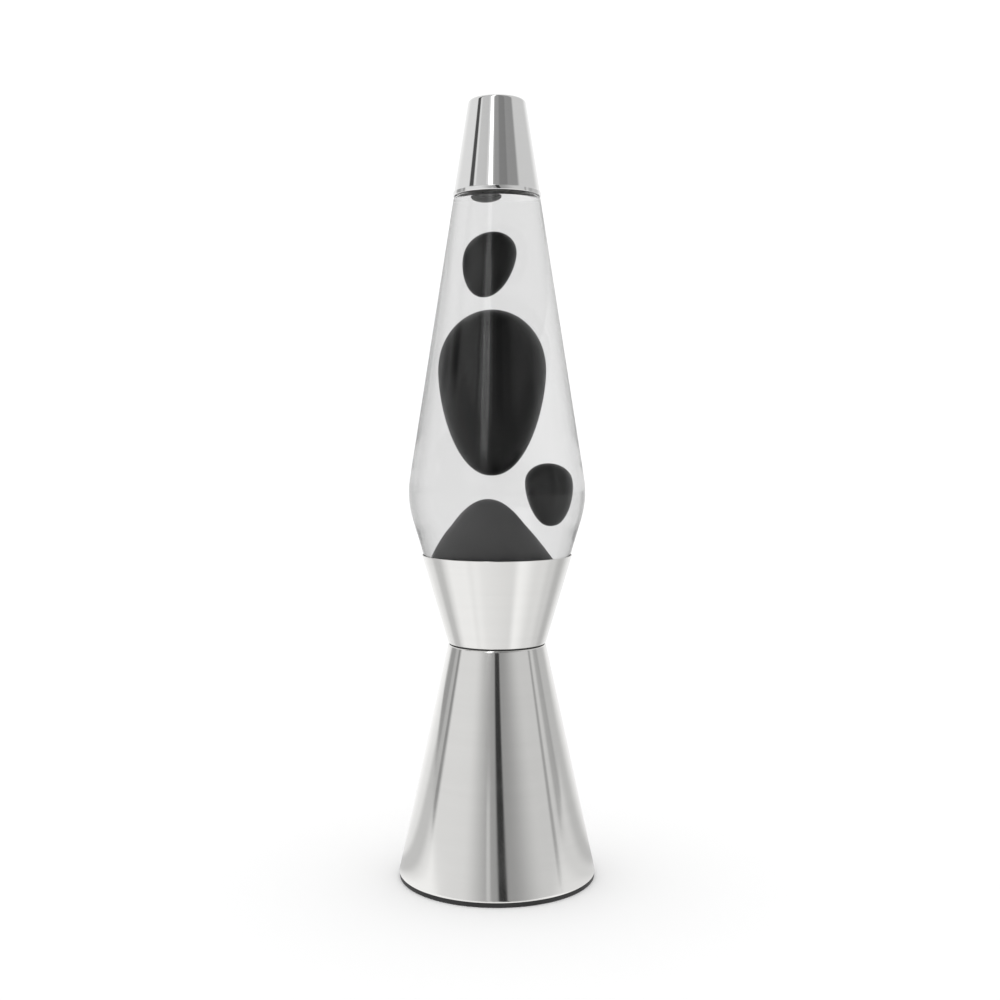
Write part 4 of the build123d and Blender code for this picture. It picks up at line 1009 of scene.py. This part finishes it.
@dataclass
class Bulb:
    """The screw-in bulb under the globe."""

    glass: float = 0.6 * MM
    neck: float = 7.0 * MM
    flare_start: float = 25.0 * MM
    flare_end: float = 38.0 * MM
    coil_radius: float = 0.5 * MM
    coil_turns: int = 26
    coil_drop: float = 0.8 * MM
    stem_reach: float = 1.6 * MM

    def envelope(self) -> bpy.types.Object:
        """The glass: a neck, a flare and a domed end, with its inner wall."""
        low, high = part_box("bulb_glass")
        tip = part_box("bulb_tip")[0].z
        girth = high.x

        def side(inset: float) -> list[tuple[float, float]]:
            """Corners of one skin."""
            return [
                (self.neck - inset, low.z),
                (self.neck - inset, tip + self.flare_start),
                (girth - inset, tip + self.flare_end),
                (girth - inset, high.z - inset),
                (0, high.z - inset),
            ]

        rounds = [0, 8 * MM, 12 * MM, 0.98 * girth, 0]
        inner_rounds = [0, 8.6 * MM, 11.4 * MM, 0.98 * (girth - self.glass), 0]
        outline = rounded_outline([*side(0), *reversed(side(self.glass))], [*rounds, *reversed(inner_rounds)])
        return turned("bulb_glass_blown", held_outline(outline, 0.3 * MM, 3 * MM), Roundness.MEDIUM)

    def filament(self) -> bpy.types.Object:
        """The coiled filament: a fine helix between the tops of its two support wires."""
        low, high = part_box("bulb_filament")
        half = (high.x - low.x) / 2 - self.coil_radius
        share = np.linspace(0, 1, 701)
        turn = TURN * self.coil_turns * share
        along = half * (2 * share - 1)
        height = high.z - self.coil_drop + self.coil_radius * np.sin(turn)
        helix = np.column_stack([along, self.coil_radius * np.cos(turn), height])
        return skin("bulb_filament_coiled", [tube_grid(helix, 0.1 * MM, 6)], False)

    def supports(self) -> bpy.types.Object:
        """The bent support wires, one mirrored from the other across the axis, as one piece."""
        low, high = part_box("bulb_filament")
        half = (high.x - low.x) / 2 - self.coil_radius
        share = np.linspace(0, 1, 25)[:, None]
        bend = np.concatenate([share**1.6, share, share], axis=1)
        grids = []
        for side in (-1, 1):
            start = np.array([side * self.stem_reach, 0, low.z])
            end = np.array([side * half, 0, high.z - self.coil_drop])
            grids.append(tube_grid(start + (end - start) * bend, 0.3 * MM, 8))
        return skin("bulb_supports", grids, False, 180)

    def build(self) -> None:
        """Builds and dresses the bulb."""
        place(self.envelope(), "bulb", "bulb_clear_glass", BULB_GLASS.material(), "bulb_glass")
        place(self.filament(), "bulb", "tungsten", TUNGSTEN.material(), "bulb_filament")
        place(self.supports(), "bulb", "tungsten", ZINC.material())
        dress("bulb_stem", BULB_GLASS.material())
        dress("bulb_cap", BRASS.material())
        dress("bulb_insulator", FUSED_GLASS.material())
        dress("bulb_tip", SOLDER.material())


@dataclass
class Underside:
    """The foot ring, the cover and its fixings, and everything that stands on the cover."""

    ring_width: float = 3.4 * MM

    def foot(self) -> bpy.types.Object:
        """Rubber ring with softened lower edges."""
        low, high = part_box("foot_ring")
        outer = high.x
        inner = outer - self.ring_width
        outline = rounded_outline(
            [(inner, low.z), (outer, low.z), (outer, high.z), (inner, high.z)], [0.5 * MM, 0.5 * MM, 0, 0]
        )
        return turned("foot_ring_moulded", held_outline(outline))

    def build(self) -> None:
        """Builds the ring and dresses the pieces that keep their own mesh."""
        rubber = FOOT_RUBBER.material()
        plastic = COVER_PLASTIC.material()
        zinc = ZINC.material()
        brass = BRASS.material()
        pvc = LEAD_PVC.material()
        place(self.foot(), "base", "black_rubber", rubber, "foot_ring")
        finishes = {
            "bottom_cover": plastic,
            "cord_gland": plastic,
            "cover_screws": zinc,
            "socket_bracket": zinc,
            "bracket_rivets": zinc,
            "socket_nipple": zinc,
            "nipple_nut": zinc,
            "lock_washer": zinc,
            "terminal_screws": zinc,
            "terminal_fixing_screw": zinc,
            "socket_housing": CERAMIC.material(),
            "socket_shell": brass,
            "socket_contact": brass,
            "terminal_inserts": brass,
            "terminal_block": NYLON.material(),
            "socket_lead_live": pvc,
            "socket_lead_neutral": pvc,
        }
        for node, material in finishes.items():
            dress(node, material)


# ------------------------------------------------------------------------------ studio


class Zone(Enum):
    """Elevations, in degrees, between which a strip of the tent shows."""

    FLOOR = (-90.0, -12.0)
    LOW = (-12.0, 16.5)
    FOOT = (-12.0, 9.0)
    TAPER = (18.5, 25.5)
    HIGH = (16.5, 95.0)


@dataclass(frozen=True)
class Band:
    """A strip of the light tent that is darker or brighter than the rest, as polished metal sees it.

    Attributes:
        zone: the elevations where it shows.
        azimuth: its middle, in degrees from the front, positive to the right.
        half: half its even part, in degrees.
        soft: the width of each soft edge, in degrees.
        shade: its brightness as a share of the tent's.
        slant: how far its middle moves for each degree up from an elevation of 10 degrees.
    """

    zone: Zone
    azimuth: float
    half: float
    soft: float
    shade: float
    slant: float = 0.0


@dataclass
class Studio:
    """A white light tent, a pale floor and the camera."""

    tent: float = 1.09
    left: float = 0.78
    right: float = 0.64
    back: float = 0.95
    floor_size: float = 8.0
    floor_elevation: float = -45.0
    camera_place: tuple[float, float, float] = (0.0, -0.618, 0.2117)
    camera_lens: float = 46.73
    camera_drop: float = 2.07
    camera_turn: float = -0.13
    camera_shift: float = -0.02

    BANDS = (
        Band(Zone.LOW, 2.8, 8, 42, 0.50, -0.7),
        Band(Zone.LOW, 2.8, 3.5, 3, 0.10, -0.7),
        Band(Zone.FOOT, -13.5, 1, 2.5, 1.5, -0.7),
        Band(Zone.LOW, -111, 18, 5, 0.64),
        Band(Zone.LOW, -96, 1.5, 3, 0.60),
        Band(Zone.LOW, -118, 5, 8, 0.70),
        Band(Zone.LOW, 78.5, 1, 3.5, 0.60),
        Band(Zone.LOW, 97, 4, 6, 0.74),
        Band(Zone.LOW, 115, 12, 20, 0.85),
        Band(Zone.TAPER, -11, 2, 3, 2.0),
        Band(Zone.TAPER, -26, 2, 3, 2.0),
        Band(Zone.TAPER, 4, 3.5, 3, 0.5),
        Band(Zone.TAPER, 42, 16, 6, 1.8),
        Band(Zone.TAPER, -48, 12, 4, 1.7),
        Band(Zone.HIGH, 26, 32, 10, 0.46),
        Band(Zone.HIGH, 18, 9, 6, 0.74),
        Band(Zone.HIGH, -76, 5, 4, 0.10),
        Band(Zone.HIGH, -46, 14, 4, 0.76),
        Band(Zone.HIGH, -18.5, 3, 4, 3.4),
        Band(Zone.FLOOR, -68, 12, 14, 1.20),
        Band(Zone.FLOOR, -100, 60, 20, 1.08),
        Band(Zone.FLOOR, -108, 5, 12, 0.72),
        Band(Zone.FLOOR, 5, 35, 30, 1.24),
        Band(Zone.FLOOR, 70, 30, 16, 1.30),
        Band(Zone.FLOOR, 108, 12, 16, 0.86),
    )

    def tent_shade(self) -> bpy.types.NodeTree:
        """Group for the tent's brightness in one direction: a level that changes from left to right and
        to the rear, times one smooth bump in azimuth for each strip, within that strip's elevations."""
        angles = {"Azimuth": ("Float", None), "Elevation": ("Float", None)}
        sheet = new_group("tent_shade", angles, ["Shade"])
        given = sheet.tree.nodes.new("NodeGroupInput").outputs
        azimuth, elevation = given["Azimuth"], given["Elevation"]
        side = sheet.ramp(azimuth, -70, 60, self.left, self.right)
        behind = sheet.ramp(sheet.math("ABSOLUTE", azimuth), 120, 155)
        more = sheet.math("SUBTRACT", self.back, side)
        shade = sheet.math("ADD", side, sheet.math("MULTIPLY", behind, more))
        for band in self.BANDS:
            low, high = band.zone.value
            slanted = sheet.math("MULTIPLY", sheet.math("SUBTRACT", elevation, 10.0), band.slant)
            middle = sheet.math("ADD", slanted, band.azimuth)
            away = sheet.math("ABSOLUTE", sheet.math("SUBTRACT", azimuth, middle))
            inside = sheet.ramp(away, band.half, band.half + band.soft, 1.0, 0.0)
            above = sheet.ramp(elevation, low - 1, low + 1)
            below = sheet.ramp(elevation, high - 1, high + 1, 1.0, 0.0)
            amount = sheet.math("MULTIPLY", inside, sheet.math("MULTIPLY", above, below))
            shade = sheet.math("MULTIPLY", shade, sheet.math("MULTIPLY_ADD", amount, band.shade - 1.0, 1.0))
        return sheet.give(Shade=shade)

    def strips(
        self, sheet: Sheet, tent_shade: bpy.types.NodeTree, apart: object, elevation: object
    ) -> bpy.types.NodeSocket:
        """Brightness of the tent's strips towards a place.

        Args:
            sheet: the sheet to build on.
            tent_shade: the group that holds the strips.
            apart: sockets with the place's X and Y, which give the azimuth.
            elevation: the elevation, in degrees.

        Returns:
            The brightness.
        """
        azimuth = sheet.math("ARCTAN2", apart["X"], sheet.math("MULTIPLY", apart["Y"], -1.0))
        angles = {"Azimuth": sheet.math("DEGREES", azimuth), "Elevation": elevation}
        return sheet.group(tent_shade, **angles).outputs["Shade"]

    def world(self, tent_shade: bpy.types.NodeTree) -> None:
        """Lights the scene from all round. Cameras see plain white, and mirror-like surfaces see the
        tent's strips."""
        world = bpy.data.worlds.new("light_tent")
        world.use_nodes = True
        bpy.context.scene.world = world
        sheet = Sheet(world.node_tree)
        direction = sheet.tree.nodes.new("ShaderNodeTexCoord").outputs["Generated"]
        apart = sheet.add("SeparateXYZ", Vector=direction).outputs
        elevation = sheet.math("DEGREES", sheet.math("ARCSINE", apart["Z"]))
        strips = self.strips(sheet, tent_shade, apart, elevation)
        plain = sheet.add("Background", Color=(1, 1, 1, 1), Strength=self.tent)
        striped = sheet.add("Background", Color=(1, 1, 1, 1), Strength=strips)
        glossy = sheet.tree.nodes.new("ShaderNodeLightPath").outputs["Is Glossy Ray"]
        sheet.end("World", sheet.mix(glossy, plain, striped))

    def floor(self, tent_shade: bpy.types.NodeTree) -> None:
        """A wide pale floor that fades into the white of the tent. Polished metal sees the tent's strips
        run on across it. From below it is clear, so that the underside can be looked at."""
        half = self.floor_size / 2
        mesh = bpy.data.meshes.new("studio_floor")
        corners = [(-half, -half, 0), (half, -half, 0), (half, half, 0), (-half, half, 0)]
        mesh.from_pydata(corners, [], [(0, 1, 2, 3)])
        floor = bpy.data.objects.new("studio_floor", mesh)
        bpy.context.scene.collection.objects.link(floor)
        material = bpy.data.materials.new("studio_floor")
        material.use_nodes = True
        sheet = Sheet(material.node_tree)
        where = sheet.tree.nodes.new("ShaderNodeTexCoord").outputs["Object"]
        distance = sheet.vector("LENGTH", where).outputs["Value"]
        fade = sheet.ramp(distance, 0.1, 1.1)
        apart = sheet.add("SeparateXYZ", Vector=where).outputs
        strips = self.strips(sheet, tent_shade, apart, self.floor_elevation)
        plain = sheet.add("BsdfDiffuse", Color=(0.97, 0.97, 0.97, 1))
        white = sheet.add("Emission", Color=(1, 1, 1, 1), Strength=self.tent)
        striped = sheet.add("Emission", Color=(1, 1, 1, 1), Strength=strips)
        glossy = sheet.tree.nodes.new("ShaderNodeLightPath").outputs["Is Glossy Ray"]
        under = sheet.tree.nodes.new("ShaderNodeNewGeometry").outputs["Backfacing"]
        above = sheet.mix(glossy, sheet.mix(fade, plain, white), striped)
        sheet.end("Material", sheet.mix(under, above, sheet.add("BsdfTransparent")))
        mesh.materials.append(material)

    def camera(self) -> None:
        """The camera, level with the globe's belly and tipped down a little."""
        data = bpy.data.cameras.new("camera")
        data.lens = self.camera_lens
        data.sensor_width = 36.0
        data.shift_y = self.camera_shift
        camera = bpy.data.objects.new("camera", data)
        bpy.context.scene.collection.objects.link(camera)
        camera.location = self.camera_place
        camera.rotation_euler = (math.radians(90 - self.camera_drop), 0, math.radians(self.camera_turn))
        bpy.context.scene.camera = camera

    def build(self) -> None:
        """Sets up the light, the floor and the camera."""
        tent_shade = self.tent_shade()
        self.world(tent_shade)
        self.floor(tent_shade)
        self.camera()
        bpy.context.scene.view_settings.view_transform = "Standard"
        log.info("studio is set")


def main() -> None:
    """Builds the lamp from its foot up, then the studio."""
    logging.basicConfig(level=logging.INFO, format="%(name)s: %(message)s")
    for part in (Underside(), BaseShells(), Bulb(), Globe(), Wax(), TopCap(), Studio()):
        part.build()
    bpy.context.view_layer.update()


if __name__ == "__main__":
    main()
